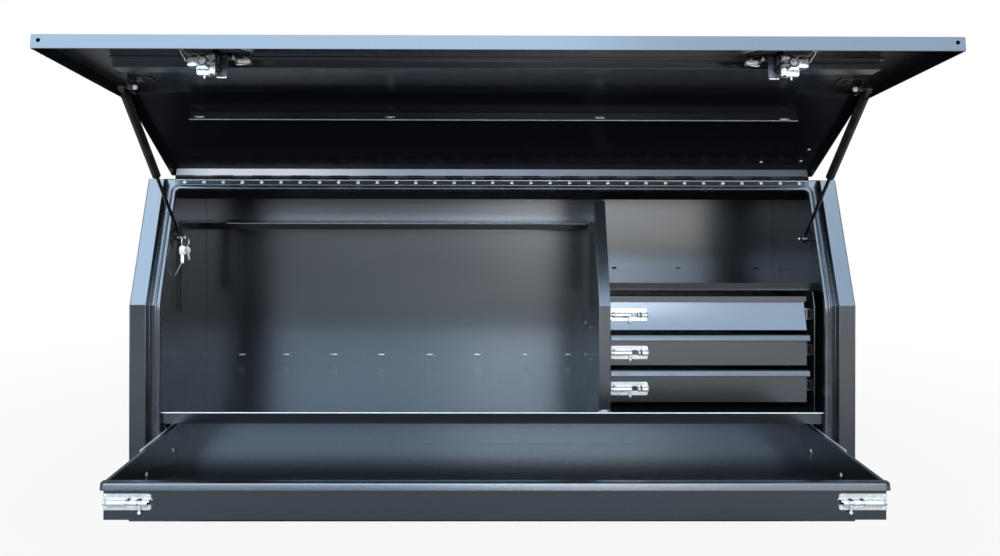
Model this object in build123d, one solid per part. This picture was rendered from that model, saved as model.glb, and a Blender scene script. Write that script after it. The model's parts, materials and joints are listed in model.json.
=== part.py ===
from build123d import *
import os
from math import atan2, cos, degrees, hypot, radians, sin, tan

os.makedirs("parts", exist_ok=True)

# Body: origin at the centre of the base's underside, +X right, +Y to the back, +Z up
width = 1700
depth = 600
height = 800
sheet = 2
bend_height = 506
slant_run = 124
front_y = -depth / 2
back_y = depth / 2
wall_x = width / 2 - sheet
slant = atan2(slant_run, height - bend_height)

# Door frame round the front opening
flange_width = 38
gutter_depth = 25
gutter_width = 28
upstand_inset = 3
jamb_inset = 70
sill_flange_height = 46
opening_low = 86
lip_x = width / 2 - flange_width
opening_x = lip_x - gutter_width - sheet
floor_inset = gutter_depth - sheet

# Seal on the upstand
seal_inner = 4
seal_outer = 8
seal_inset = 14
seal_overlap = 0.5

# Lid, drawn shut and then swung open
lid_gap = 12
lid_proud = 3
lid_return = 25
lid_open = 97
pin_inset = lid_return - lid_proud
hinge_rise = 5
lid_x = lip_x - lid_gap
lid_low = sill_flange_height + lid_gap

# Piano hinge
pin_radius = 1.6
pin_clearance = 0.05
knuckle_radius = 4.3
knuckle_clearance = 0.3
knuckle_count = 33
hinge_end_gap = 8
knuckle_length = 2 * (lid_x - hinge_end_gap) / knuckle_count
leaf_width = 25
leaf_sheet = 1.5
rivet_radius = 3.2
rivet_top_radius = 1.8
rivet_height = 1.6
header_drop = 40
pin_along = (height + hinge_rise - bend_height + pin_inset * sin(slant)) / cos(slant)
hinge_y = front_y + pin_inset * cos(slant) + pin_along * sin(slant)
hinge_z = height + hinge_rise
header_along = pin_along - header_drop

# Lid stiffeners
stiffener_end_gap = 78
stiffener_half = lid_x - stiffener_end_gap
stiffener_width = 40
stiffener_depth = 18
stiffener_low = 212
stiffener_brim = 14
rear_angle_end_gap = 110
rear_angle_half = lid_x - rear_angle_end_gap
rear_angle_along = 78
rear_angle_depth = 20
rear_angle_leg = 24

# Gas struts
strut_wall_gap = 16
strut_x = opening_x - strut_wall_gap
strut_low_inset = 40.3
strut_low_rise = 150
strut_high_inset = 18
strut_high_drop = 130
eye_radius = 9
eye_half = 6
neck_radius = 5
stud_radius = 4
stud_clearance = 0.06
stud_reach = 12
stud_gap = 0.5
rod_radius = 4
rod_inner_end = 240
cylinder_radius = 9.5
cylinder_wall = 1.5
cylinder_length = 249
cylinder_cap = 10
piston_length = 8
eye_neck = 12
rod_neck = 8
bracket_sheet = 3
bracket_size = 46
bracket_half_width = 13
bracket_slope = 11
collar_width = 2
collar_length = 3
collar_gap = 1
upper_stud_length = 11

# Shelves and divider
mid_shelf_top = 251
mid_shelf_inset = 14
mid_shelf_drop = 26
cabinet_side_gap = 17
cabinet_side_x = opening_x - cabinet_side_gap
cabinet_width = 487
divider_x = cabinet_side_x - cabinet_width
divider_inset = 28
divider_flange = 25
divider_notch_drop = 52
divider_notch_low = height - divider_notch_drop
upper_shelf_top = 535
upper_shelf_depth = 63
upper_shelf_lip = 17
cabinet_side_inset = 33
loose_shelf_top = 677
loose_shelf_depth = 403
loose_shelf_lip = 17
loose_shelf_gap = 5
rail_drop = 33
rail_ledge = 38
clip_length = 36
clip_ledge = 27

# Slotted uprights
upright_stand = 15
upright_sheet = 1.5
upright_width = 73
upright_low = 443
upright_high = 684
upright_front_depth = 330
slot_height = 14
slot_width = 5
slot_pitch = 25
slot_edge = 18

# Small drawers, lowest first: low edge and top of the lip
small_drawers = [(268, 346.5), (356, 431), (440.5, 520.6)]
small_face_depth = 48
small_face_end_gap = 12
small_face_end = cabinet_side_x - small_face_end_gap
small_face_gap = 2
small_length = 500
tray_sheet = 1.5
lip_reach = 17
lip_height = 13
floor_rise = 8
side_below_lip = 8
top_face_run = 22

# Drawer slides
slide_width = 12.7
slide_sheet = 1.5
slide_gap = 0.3
rail_reach = slide_width * 0.45
small_slide_height = 27
small_slide_length = 450
small_slide_setback = 12
big_slide_height = 40
big_slide_length = 450
big_slide_setback = 13
big_slide_z = 188

# Big drawer, drawn as far out as it stands at rest
big_side_gap = 17
big_x = opening_x - big_side_gap
big_closed_depth = 62
big_out = 414
big_low = 136
big_top = 213
big_length = 474
big_side_top = 211
hem = 8
hem_sheet = 1.5
big_lip_height = 16
big_lip_reach = 15
big_lip_chamfer = 14

# Slide carriers between the side walls and the big drawer's slides
carrier_low = 140
carrier_high = 218
carrier_depth = 480

# Barrel bolts
plate_sheet = 1.5
plate_height = 32
small_plate_length = 91
big_plate_length = 94
bolt_radius = 4
bolt_clearance = 0.06
barrel_wall = 2.2
barrel_inset = 5
barrel_end_margin = 6
bolt_end_gap = 8
knob_radius = 3.2
knob_head_radius = 4.4
knob_drop = 16
knob_slot_gap = 0.4
small_knob_at = 47
big_knob_at = 72
small_throw = 12
big_throw = 20
bolt_tip_gap = 0.5
bolt_hole_clearance = 0.8
big_bolt_rise = 5

# Compression latches in the lid
latch_end_gap = 295
latch_x = lid_x - latch_end_gap
latch_z = 146
latch_half_x = 60
latch_half_z = 42
latch_taper = 16
latch_plate = 3
pocket_half_x = 44
pocket_half_z = 27
pocket_depth = 12
pocket_wall = 2
handle_gap = 0.6
handle_end_gap = 2
handle_sheet = 5
handle_proud = 1
handle_pin_inset = 1.5
handle_pin_end = 8
handle_pin_radius = 1.2
latch_body_start = 13
latch_body_end = 41
latch_body_half_z = 13
latch_body_inset = 42
latch_ear_end = 50
latch_ear_half_z = 7
latch_ear_inset = 24
latch_stop_start = -52
latch_stop_end = -38
latch_stop_inset = 17
spindle_radius = 6
lock_radius = 2.5
lock_depth = 4
spindle_clearance = 0.1
cam_inset = 30
cam_sheet = 5
cam_length = 56
cam_width = 16
striker_width = 50
striker_rise = 20

# Key ring on the left lower stud
ring_radius = 12
ring_wire = 1
ring_gap = 0.3
ring_x = -(strut_x - eye_half - stud_reach / 2)
key_bow = 9
key_hole = 2.2
key_sheet = 2
key_blade_length = 26
key_blade_width = 7
key_blade_lap = 2
key_pitch = 3.2
key_tilts = (-14, 6, 20)


def block(x0, x1, y0, y1, z0, z1):
    size = Box(abs(x1 - x0), abs(y1 - y0), abs(z1 - z0))
    return Pos((x0 + x1) / 2, (y0 + y1) / 2, (z0 + z1) / 2) * size


def side_prism(points, x0, x1):
    # A polygon of (y, z) points carried along X
    low, high = min(x0, x1), max(x0, x1)
    face = make_face(Polyline(*points, close=True))
    return extrude(Plane.YZ.offset(low) * face, high - low)


def rod_x(radius, x0, x1, y, z):
    low, high = min(x0, x1), max(x0, x1)
    turned = Rot(0, 90, 0) * Cylinder(radius, high - low)
    return Pos((low + high) / 2, y, z) * turned


def mirrored(shape):
    return shape.mirror(Plane.YZ)


def both_sides(shape):
    return [shape, mirrored(shape)]


def kink_height(inset):
    return bend_height - inset * tan(slant / 2)


def front_at(inset, z):
    # y of the front surface moved inwards by inset, at height z
    return front_y + inset + max(0, z - kink_height(inset)) * tan(slant)


def front_line(inset, low, high):
    kink = kink_height(inset)
    heights = [low] + ([kink] if low < kink < high else []) + [high]
    return [(front_at(inset, z), z) for z in heights]


def front_band(outer, inner, low, high, x0, x1):
    # Sheet that follows the bent front between two insets
    points = front_line(outer, low, high) + front_line(inner, low, high)[::-1]
    return side_prism(points, x0, x1)


def slant_point(along, inset):
    # A place on the slanted front: distance up the slope from the bend, and inset
    y = front_y + along * sin(slant) + inset * cos(slant)
    return (y, bend_height + along * cos(slant) - inset * sin(slant))


def bent_sheet(outer, inner, low, high_along, x0, x1):
    # Follows the bent front between two insets, and is cut square to the slope at its top end
    lines = []
    for inset in (outer, inner):
        kink = kink_height(inset)
        lines.append([(front_y + inset, low), (front_y + inset, kink), slant_point(high_along, inset)])
    return side_prism(lines[0] + lines[1][::-1], x0, x1)


def slant_plate(along0, along1, inset0, inset1, x0, x1):
    corners = [(along0, inset0), (along1, inset0), (along1, inset1), (along0, inset1)]
    return side_prism([slant_point(*c) for c in corners], x0, x1)


def opened(shape):
    # From the shut lid to the open one, about the hinge pin
    return shape.rotate(Axis((0, hinge_y, hinge_z), (1, 0, 0)), -lid_open)


def opened_point(y, z):
    turn = -radians(lid_open)
    dy, dz = y - hinge_y, z - hinge_z
    return (hinge_y + dy * cos(turn) - dz * sin(turn), hinge_z + dy * sin(turn) + dz * cos(turn))


def save(name, shapes):
    # A list of shapes becomes one node with a separate solid for each piece
    solids = []
    for shape in shapes if isinstance(shapes, list) else [shapes]:
        solids += shape.solids()
    export_step(solids[0] if len(solids) == 1 else Compound(children=solids), f"parts/{name}.step")


def base_panel():
    return block(-wall_x, wall_x, front_y, back_y, 0, sheet)


def back_panel():
    return block(-wall_x, wall_x, back_y - sheet, back_y, sheet, height - sheet)


def side_panel():
    points = [(front_y, 0), (back_y, 0), (back_y, height), (front_y + slant_run, height)]
    return side_prism(points + [(front_y, bend_height)], wall_x, width / 2)


def top_panel():
    # Reaches the flanges at its front corners and stops behind the hinge between them
    whole = block(-wall_x, wall_x, front_at(sheet, height), back_y, height - sheet, height)
    y_hinge = slant_point(pin_along - knuckle_radius, gutter_depth)[0] + knuckle_clearance
    return whole - block(-lip_x, lip_x, front_y, y_hinge, height - 2 * sheet, height + sheet)


def door_frame():
    # Right side: flange, gutter wall, gutter floor, upstand and jamb return in one folded strip
    top = height - sheet
    upstand_top = slant_point(header_along + sheet, seal_inset)[1]
    strip = front_band(0, sheet, sheet, height, lip_x, wall_x)
    strip += front_band(sheet, gutter_depth, sheet, top, lip_x, lip_x + sheet)
    strip += front_band(floor_inset, gutter_depth, sheet, top, opening_x, lip_x + sheet)
    strip += front_band(upstand_inset, gutter_depth, opening_low, upstand_top, opening_x, opening_x + sheet)
    strip += front_band(floor_inset, jamb_inset, sheet, top, opening_x, opening_x + sheet)
    bolt_y, bolt_z = big_bolt_axis(big_closed_depth)
    hole = bolt_radius + bolt_hole_clearance
    return strip - rod_x(hole, opening_x - sheet, opening_x + 2 * sheet, bolt_y, bolt_z)


def header_frame():
    end = pin_along - knuckle_radius - knuckle_clearance
    low = header_along
    header = slant_plate(low, end, floor_inset, gutter_depth, -opening_x, opening_x)
    header += slant_plate(low, low + sheet, upstand_inset, jamb_inset, -opening_x, opening_x)
    return header


def sill_frame():
    top = opening_low
    y_floor = front_y + floor_inset
    y_deep = front_y + gutter_depth
    sill = block(-lip_x, lip_x, front_y, front_y + sheet, sheet, sill_flange_height)
    low = sill_flange_height - sheet
    sill += block(-lip_x, lip_x, front_y, y_floor, low, sill_flange_height)
    sill += block(-opening_x, opening_x, y_floor, y_deep, low, top)
    y_lip = front_y + upstand_inset
    return sill + block(-opening_x, opening_x, y_lip, front_y + jamb_inset, top - sheet, top)


def seal_band(outer, inner, gap, reach):
    # One side of the seal between two distances outside the upstand, all round the opening
    low, high = header_along + gap, header_along + reach
    near, far = sorted((opening_x + gap, opening_x + reach))
    z_near, z_far = sorted((opening_low - reach, opening_low - gap))
    ring = bent_sheet(outer, inner, z_near, max(low, high) - seal_overlap, near, far)
    ring += mirrored(ring)
    ring += slant_plate(min(low, high), max(low, high), outer, inner, -far, far)
    return ring + block(-far, far, front_y + outer, front_y + inner, z_near, z_far)


def door_seal():
    # A U section pressed over the upstand: cap, outer leg and inner leg
    outer_reach = sheet + seal_outer
    ring = seal_band(0, upstand_inset, -seal_inner, outer_reach)
    ring += seal_band(upstand_inset, seal_inset, sheet, outer_reach)
    return ring + seal_band(upstand_inset, seal_inset, -seal_inner, 0)


def mid_shelf():
    low = mid_shelf_top - sheet
    y_jamb = front_y + jamb_inset
    y_front = front_y + mid_shelf_inset
    shelf = block(-wall_x, wall_x, y_jamb, back_y - sheet, low, mid_shelf_top)
    shelf += block(-opening_x, opening_x, y_front, y_jamb, low, mid_shelf_top)
    drop = mid_shelf_top - mid_shelf_drop
    return shelf + block(-opening_x, opening_x, y_front, y_front + sheet, drop, mid_shelf_top)


def divider():
    # The front edge steps back under the header, and the flange turns to the left
    right, left = divider_x + sheet / 2, divider_x - sheet / 2
    low, notch, top = mid_shelf_top, divider_notch_low, height - sheet
    points = front_line(divider_inset, low, notch)
    points += front_line(jamb_inset + sheet, notch, top) + [(back_y - sheet, top), (back_y - sheet, low)]
    plate = side_prism(points, left, right)
    plate += front_band(divider_inset, divider_inset + sheet, low, notch, left - divider_flange, left)
    for drawer in range(len(small_drawers)):
        y, z = small_bolt_axis(drawer)
        plate -= rod_x(bolt_radius + bolt_hole_clearance, left - sheet, right + sheet, y, z)
    return plate


def upper_shelf():
    left = divider_x + sheet / 2
    low = upper_shelf_top - sheet
    y_front = front_y + upper_shelf_depth
    y_jamb = front_at(jamb_inset, upper_shelf_top)
    shelf = block(left, opening_x, y_front, y_jamb, low, upper_shelf_top)
    shelf += block(left, wall_x, y_jamb, back_y - sheet, low, upper_shelf_top)
    return shelf + block(left, opening_x, y_front, y_front + sheet, low, upper_shelf_top + upper_shelf_lip)


def drawer_cabinet_side():
    low, high = mid_shelf_top, upper_shelf_top - sheet
    points = front_line(cabinet_side_inset, low, high)
    y_front = front_y + upper_shelf_depth
    points = [(max(y, front_at(cabinet_side_inset, z)), z) for y, z in points]
    points += [(back_y - sheet, high), (back_y - sheet, low)]
    return side_prism(points, cabinet_side_x, cabinet_side_x + sheet)


def loose_shelf_ends():
    return (-wall_x + loose_shelf_gap, divider_x - sheet / 2 - loose_shelf_gap)


def adjustable_shelf():
    # Rests on the clips and the rear rail, with its front and right edges turned down
    left, right = loose_shelf_ends()
    low, top = loose_shelf_top - sheet, loose_shelf_top
    y_front = front_y + loose_shelf_depth
    shelf = block(left, right, y_front, back_y - sheet, low, top)
    drop = top - loose_shelf_lip
    return shelf + block(left, right, y_front, y_front + sheet, drop, top)


def shelf_supports():
    # A rear rail on the back wall and one clip on each side, under the loose shelf
    left, right = loose_shelf_ends()
    top = loose_shelf_top - sheet
    y_back = back_y - sheet
    rail = block(left, right, y_back - sheet, y_back, top - rail_drop, top)
    rail += block(left, right, y_back - rail_ledge, y_back, top - sheet, top)
    y0 = front_y + upright_front_depth + upright_width + 2 * sheet
    clips = []
    for wall, turn in ((-wall_x, 1), (divider_x - sheet / 2, -1)):
        clip = block(wall, wall + turn * clip_ledge, y0, y0 + clip_length, top - sheet, top)
        clip += block(wall, wall + turn * sheet, y0, y0 + clip_length, top - clip_length, top)
        clips.append(clip)
    return [rail] + clips


def slot_heights():
    count = int((upright_high - upright_low - 2 * slot_edge) // slot_pitch) + 1
    return [upright_low + slot_edge + slot_pitch * i for i in range(count)]


def upright(wall, turn, low_y):
    # A channel with its web held off the wall, and two rows of slots
    high_y = low_y + upright_width
    web, t = wall + turn * upright_stand, upright_sheet
    channel = block(web - turn * t, web, low_y, high_y, upright_low, upright_high)
    for y in (low_y, high_y - t):
        channel += block(wall, web, y, y + t, upright_low, upright_high)
    for z in slot_heights():
        for y in (low_y + slot_edge, high_y - slot_edge):
            channel -= block(web - 2 * turn * t, web + turn * t, y - slot_width / 2, y + slot_width / 2,
                             z - slot_height / 2, z + slot_height / 2)
    return channel


def shelf_uprights():
    pieces = []
    for wall, turn in ((-wall_x, 1), (divider_x - sheet / 2, -1)):
        pieces.append(upright(wall, turn, front_y + upright_front_depth))
    return pieces


def knuckle_spans(first):
    # Every second knuckle belongs to the same leaf
    start = -knuckle_count * knuckle_length / 2
    spans = [(start + i * knuckle_length, start + (i + 1) * knuckle_length) for i in range(knuckle_count)]
    return [(a + knuckle_clearance / 2, b - knuckle_clearance / 2) for a, b in spans[first::2]]


def hinge_half():
    return knuckle_count * knuckle_length / 2


def rivet_places():
    start = -hinge_half() + knuckle_length / 2
    return [start + i * knuckle_length for i in range(knuckle_count)]


def hinge_body_leaf():
    # Lies on the slanted gutter floor, below the pin
    half = hinge_half()
    clear = knuckle_radius + knuckle_clearance
    outer = floor_inset - leaf_sheet
    leaf = slant_plate(pin_along - leaf_width, pin_along - clear, outer, floor_inset, -half, half)
    for a, b in knuckle_spans(0):
        leaf += slant_plate(pin_along - clear, pin_along, outer, floor_inset, a, b)
        leaf += rod_x(knuckle_radius, a, b, hinge_y, hinge_z)
    return leaf - rod_x(pin_radius + pin_clearance, -half - 1, half + 1, hinge_y, hinge_z)


def hinge_lid_leaf():
    # Lies on the inside of the lid's rear return, square to the body leaf when shut
    half = hinge_half()
    clear = knuckle_radius + knuckle_clearance
    deep = pin_inset - clear
    leaf = slant_plate(pin_along - leaf_sheet, pin_along, sheet - lid_proud, deep, -half, half)
    for a, b in knuckle_spans(1):
        leaf += slant_plate(pin_along - leaf_sheet, pin_along, deep, pin_inset, a, b)
        leaf += rod_x(knuckle_radius, a, b, hinge_y, hinge_z)
    return opened(leaf - rod_x(pin_radius + pin_clearance, -half - 1, half + 1, hinge_y, hinge_z))


def hinge_pin():
    half = hinge_half()
    return rod_x(pin_radius, -half, half, hinge_y, hinge_z)


def hinge_rivets():
    # Domed heads in a row along the body leaf
    along = pin_along - (leaf_width + knuckle_radius) / 2
    y, z = slant_point(along, floor_inset - leaf_sheet)
    head = Cone(rivet_radius, rivet_top_radius, rivet_height, align=(Align.CENTER, Align.CENTER, Align.MIN))
    turned = Rot(90 - degrees(slant), 0, 0) * head
    return [Pos(x, y, z) * turned for x in rivet_places()]


def latch_cut(grow):
    y0, y1 = front_y - lid_proud - 1, front_y - lid_proud + sheet + 1
    cut = block(latch_x - pocket_half_x - grow, latch_x + pocket_half_x + grow, y0, y1,
                latch_z - pocket_half_z - grow, latch_z + pocket_half_z + grow)
    return cut + mirrored(cut)


def lid_panel():
    # A tray with its edges turned in on all four sides
    end = pin_along + sheet
    x_inner = lid_x - sheet
    whole = bent_sheet(-lid_proud, pin_inset, lid_low, end, -lid_x, lid_x)
    hollow = bent_sheet(sheet - lid_proud, pin_inset + 1, lid_low + sheet, end - sheet, -x_inner, x_inner)
    tray = whole - hollow
    clear = pin_inset - knuckle_radius - knuckle_clearance
    tray -= slant_plate(pin_along - knuckle_radius - 1, end + 1, clear, pin_inset + 1, -lid_x, lid_x)
    return opened(tray - latch_cut(pocket_wall + handle_gap))


def lid_front_stiffener():
    # A hat section spot-welded across the inside of the lid, between the latches and the bend
    y = front_y - lid_proud + sheet
    low, high = stiffener_low, stiffener_low + stiffener_width
    hat = block(-stiffener_half, stiffener_half, y, y + stiffener_depth, low, high)
    hat -= block(-stiffener_half, stiffener_half, y, y + stiffener_depth - sheet, low + sheet, high - sheet)
    for z in (low - stiffener_brim, high - sheet):
        hat += block(-stiffener_half, stiffener_half, y, y + sheet, z, z + stiffener_brim + sheet)
    return opened(hat)


def lid_rear_stiffener():
    # An angle across the slanted part of the lid
    skin = sheet - lid_proud
    a, b = rear_angle_along, rear_angle_along + rear_angle_leg
    half = rear_angle_half
    angle = slant_plate(a, b, skin, skin + sheet, -half, half)
    return opened(angle + slant_plate(a, a + sheet, skin, skin + rear_angle_depth, -half, half))


def strut_high_shut():
    return (front_y + strut_high_inset, bend_height - strut_high_drop)


def strut_ends():
    z = bend_height + strut_low_rise
    return (front_at(strut_low_inset, z), z), opened_point(*strut_high_shut())


def strut_lower_bracket():
    # A plate on the jamb with a stud that points inwards through the rod's eye
    y, z = strut_ends()[0]
    half, side, cut = bracket_size / 2, bracket_half_width, bracket_slope
    corners = [(y - side, z - half), (y + side, z - half + cut), (y + side, z + half), (y - side, z + half - cut)]
    face = opening_x - bracket_sheet
    tip = strut_x - eye_half - stud_reach
    bracket = side_prism(corners, face, opening_x) + rod_x(stud_radius, tip, face, y, z)
    return bracket + rod_x(stud_radius + collar_width, strut_x + eye_half + collar_gap, face, y, z)


def strut_upper_bracket():
    # An angle on the lid's inner skin with a stud that points outwards
    y, z = strut_high_shut()
    skin = front_y - lid_proud + sheet
    face = strut_x - eye_half - stud_gap
    plate_x = face - upper_stud_length
    half = bracket_size / 2
    plate = block(plate_x - bracket_sheet, plate_x, skin, y + eye_radius, z - half, z + half)
    foot = block(plate_x - half, plate_x, skin, skin + bracket_sheet, z - half, z + half)
    bracket = plate + foot + rod_x(stud_radius, plate_x, face, y, z)
    return opened(bracket + rod_x(stud_radius + collar_width, plate_x, plate_x + collar_length, y, z))


def strut_plane():
    (y0, z0), (y1, z1) = strut_ends()
    return Plane(origin=(strut_x, y0, z0), x_dir=(1, 0, 0), z_dir=(0, y1 - y0, z1 - z0))


def strut_length():
    (y0, z0), (y1, z1) = strut_ends()
    return hypot(y1 - y0, z1 - z0)


def along_strut(radius, start, end):
    rod = Cylinder(radius, end - start, align=(Align.CENTER, Align.CENTER, Align.MIN))
    return strut_plane() * (Pos(0, 0, start) * rod)


def strut_rod():
    y, z = strut_ends()[0]
    eye = rod_x(eye_radius, strut_x - eye_half, strut_x + eye_half, y, z)
    rod = eye + along_strut(neck_radius, 0, eye_radius + rod_neck) + along_strut(rod_radius, 0, rod_inner_end)
    piston = cylinder_radius - cylinder_wall - pin_clearance
    rod += along_strut(piston, rod_inner_end, rod_inner_end + piston_length)
    bore = stud_radius + stud_clearance
    return rod - rod_x(bore, strut_x - 2 * eye_half, strut_x + 2 * eye_half, y, z)


def strut_cylinder():
    length = strut_length()
    y, z = strut_ends()[1]
    end = length - eye_radius - eye_neck
    start = end - cylinder_length
    tube = along_strut(cylinder_radius, start, end)
    tube -= along_strut(cylinder_radius - cylinder_wall, start + cylinder_cap, end - cylinder_cap / 2)
    tube -= along_strut(rod_radius + stud_clearance, start - 1, start + cylinder_cap + 1)
    tube += along_strut(neck_radius, end, length)
    return tube + rod_x(eye_radius, strut_x - eye_half, strut_x + eye_half, y, z)


def slide_rail(wall, turn, y0, z_mid, slide_height, length):
    # The C member screwed to the wall
    t, half = slide_sheet, slide_height / 2
    rail = block(wall, wall + turn * t, y0, y0 + length, z_mid - half, z_mid + half)
    for z in (z_mid - half, z_mid + half - t):
        rail += block(wall, wall + turn * rail_reach, y0, y0 + length, z, z + t)
    return rail


def slide_runner(side, turn, y0, z_mid, slide_height, length):
    # The member on the drawer, a smaller C that runs between the lips of the rail
    t, inner = slide_sheet, slide_height - 2 * slide_sheet - 2 * slide_gap
    reach = slide_width - slide_sheet - slide_gap
    runner = block(side, side - turn * t, y0, y0 + length, z_mid - inner / 2, z_mid + inner / 2)
    for z in (z_mid - inner / 2, z_mid + inner / 2 - t):
        runner += block(side, side - turn * reach, y0, y0 + length, z, z + t)
    return runner


def small_rows():
    return [(low + top - lip_height) / 2 for low, top in small_drawers]


def small_walls():
    # The wall that carries the slide, and the way from it to the drawer
    return ((divider_x + sheet / 2, 1), (cabinet_side_x, -1))


def small_slide_start():
    return front_y + small_face_depth + top_face_run + small_slide_setback


def small_slide_rails():
    rails = []
    for z in small_rows():
        for wall, turn in small_walls():
            rails.append(slide_rail(wall, turn, small_slide_start(), z, small_slide_height, small_slide_length))
    return rails


def small_runners(drawer):
    pieces = []
    z, y0 = small_rows()[drawer], small_slide_start()
    for wall, turn in small_walls():
        side = wall + turn * slide_width
        pieces.append(slide_runner(side, turn, y0, z, small_slide_height, small_slide_length))
    return pieces


def small_face_points(drawer):
    # Outer line of the front, from its low edge to the lip: the top drawer's front leans back
    low, top = small_drawers[drawer]
    y = front_y + small_face_depth
    lean = top_face_run if drawer == len(small_drawers) - 1 else 0
    return (y, low), (y + lean, top - lip_height - slide_gap)


def small_face(drawer, t):
    (y0, z0), (y1, z1) = small_face_points(drawer)
    top = small_drawers[drawer][1]
    lip_y = y1 - lip_reach
    points = [(y0, z0), (y1, z1), (y1, top - t), (lip_y + t, top - t), (lip_y + t, top - lip_height)]
    points += [(lip_y, top - lip_height), (lip_y, top), (y1 + t, top), (y1 + t, z1), (y0 + t, z0)]
    left = divider_x + sheet / 2 + small_face_gap
    return side_prism(points, left, small_face_end)


def small_tray(drawer):
    # One folded sheet: floor, sides, back, and a front with a hooked finger lip
    t = tray_sheet
    low, top = small_drawers[drawer]
    left = divider_x + sheet / 2 + slide_width
    right = cabinet_side_x - slide_width
    floor, side_top = low + floor_rise, top - lip_height - side_below_lip
    y0 = front_y + small_face_depth
    y1 = y0 + small_length
    tray = block(left, right, y0, y1, floor, side_top)
    tray -= block(left + t, right - t, y0 - 1, y1 - t, floor + t, side_top + 1)
    (ya, za), (yb, zb) = small_face_points(drawer)
    y_clear = ya - lip_reach
    outside = [(ya, za - 1), (yb, zb), (yb, zb + lip_height), (y_clear, zb), (y_clear, za - 1)]
    front_cut = side_prism(outside, left - 1, right + 1)
    return (tray - front_cut) + small_face(drawer, t)


def small_bolt_axis(drawer):
    # Centre line of the bolt in front of the face
    (y0, z0), (y1, z1) = small_face_points(drawer)
    z = (z0 + z1) / 2
    lean = atan2(y1 - y0, z1 - z0)
    off = plate_sheet + barrel_inset
    return (y0 + y1) / 2 - off * cos(lean), z + off * sin(lean)


def barrel_bolt_plate(start, turn, length, axis, lean):
    # Base plate with a bored half-round barrel, and a slot for the knob
    y, z = axis
    off = barrel_inset
    outer = bolt_radius + barrel_wall
    end = start + turn * length
    ends = sorted((start, end))
    plate = Pos(sum(ends) / 2, y + off + plate_sheet / 2, z) * Box(length, plate_sheet, plate_height)
    body_start, body_end = ends[0] + barrel_end_margin, ends[1] - barrel_end_margin
    body = block(body_start, body_end, y, y + off, z - outer, z + outer)
    body += rod_x(outer, body_start, body_end, y, z)
    body -= rod_x(bolt_radius + bolt_clearance, ends[0] - 1, ends[1] + 1, y, z)
    return (plate + body).rotate(Axis((0, y, z), (1, 0, 0)), -degrees(lean))


def bolt_slot(start, turn, knob_at, throw, axis):
    y, z = axis
    clear = knob_radius + knob_slot_gap
    x0 = start + turn * (knob_at + clear)
    x1 = start + turn * (knob_at - throw - clear)
    return block(x0, x1, y - clear, y + clear, z - plate_height / 2, z)


def barrel_bolt(start, turn, length, knob_at, axis):
    # Round bolt with a knob that hangs down, standing short of its keeper
    y, z = axis
    gap = bolt_tip_gap
    bolt = rod_x(bolt_radius, start + turn * gap, start + turn * (length - bolt_end_gap), y, z)
    knob = Cylinder(knob_radius, knob_drop, align=(Align.CENTER, Align.CENTER, Align.MAX))
    head = Pos(start + turn * knob_at, y, z - knob_drop) * Sphere(knob_head_radius)
    return bolt + Pos(start + turn * knob_at, y, z) * knob + head


def small_bolt_start():
    return divider_x + sheet / 2 + small_face_gap


def small_face_lean(drawer):
    (y0, z0), (y1, z1) = small_face_points(drawer)
    return atan2(y1 - y0, z1 - z0)


def small_bolt_plate(drawer):
    axis = small_bolt_axis(drawer)
    start = small_bolt_start()
    plate = barrel_bolt_plate(start, 1, small_plate_length, axis, 0)
    plate -= bolt_slot(start, 1, small_knob_at, small_throw, axis)
    lean = degrees(small_face_lean(drawer))
    return plate.rotate(Axis((0, *axis), (1, 0, 0)), -lean)


def small_bolt(drawer):
    axis = small_bolt_axis(drawer)
    bolt = barrel_bolt(small_bolt_start(), 1, small_plate_length, small_knob_at, axis)
    lean = degrees(small_face_lean(drawer))
    return bolt.rotate(Axis((0, *axis), (1, 0, 0)), -lean)


def big_bolt_axis(face_depth):
    z = (big_low + big_top - big_lip_height) / 2 + big_bolt_rise
    return (front_y + face_depth - plate_sheet - barrel_inset, z)


def big_bolt_plate():
    axis = big_bolt_axis(big_closed_depth - big_out)
    plate = barrel_bolt_plate(big_x, -1, big_plate_length, axis, 0)
    return plate - bolt_slot(big_x, -1, big_knob_at, big_throw, axis)


def big_bolt():
    axis = big_bolt_axis(big_closed_depth - big_out)
    return barrel_bolt(big_x, -1, big_plate_length, big_knob_at, axis)


def big_face_y():
    return front_y + big_closed_depth - big_out


def big_drawer_front():
    # Face with a hooked lip along its top edge, whose ends are cut back
    t, y = sheet, big_face_y()
    lip = big_lip_reach
    points = [(y, big_low), (y, big_top - t), (y - lip + t, big_top - t), (y - lip + t, big_top - big_lip_height)]
    points += [(y - lip, big_top - big_lip_height), (y - lip, big_top), (y + t, big_top), (y + t, big_low)]
    front = side_prism(points, -big_x, big_x)
    c = big_lip_chamfer
    corner = make_face(Polyline((big_x - c, y - lip), (big_x + 1, y - lip), (big_x + 1, y - lip + c), close=True))
    cut = extrude(Pos(0, 0, big_top - big_lip_height - 1) * corner, big_lip_height + 2)
    return front - cut - mirrored(cut)


def big_drawer_tray():
    # Floor, sides with a folded hem, and back
    t, y0 = sheet, big_face_y() + sheet
    y1 = y0 + big_length
    floor = big_low + floor_rise
    tray = block(-big_x, big_x, y0, y1, floor, big_side_top)
    tray -= block(-big_x + t, big_x - t, y0 - 1, y1 - t, floor + t, big_side_top + 1)
    top = big_side_top
    for side in (-1, 1):
        x = side * big_x
        tray += block(x, x - side * hem, y0, y1, top - hem_sheet, top)
    return tray + block(-big_x, big_x, y1 - hem, y1, top - hem_sheet, top)


def big_slide_start():
    return front_y + big_closed_depth + big_slide_setback


def big_rail_wall():
    return big_x + slide_width


def big_slide_rail():
    return slide_rail(big_rail_wall(), -1, big_slide_start(), big_slide_z, big_slide_height, big_slide_length)


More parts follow.
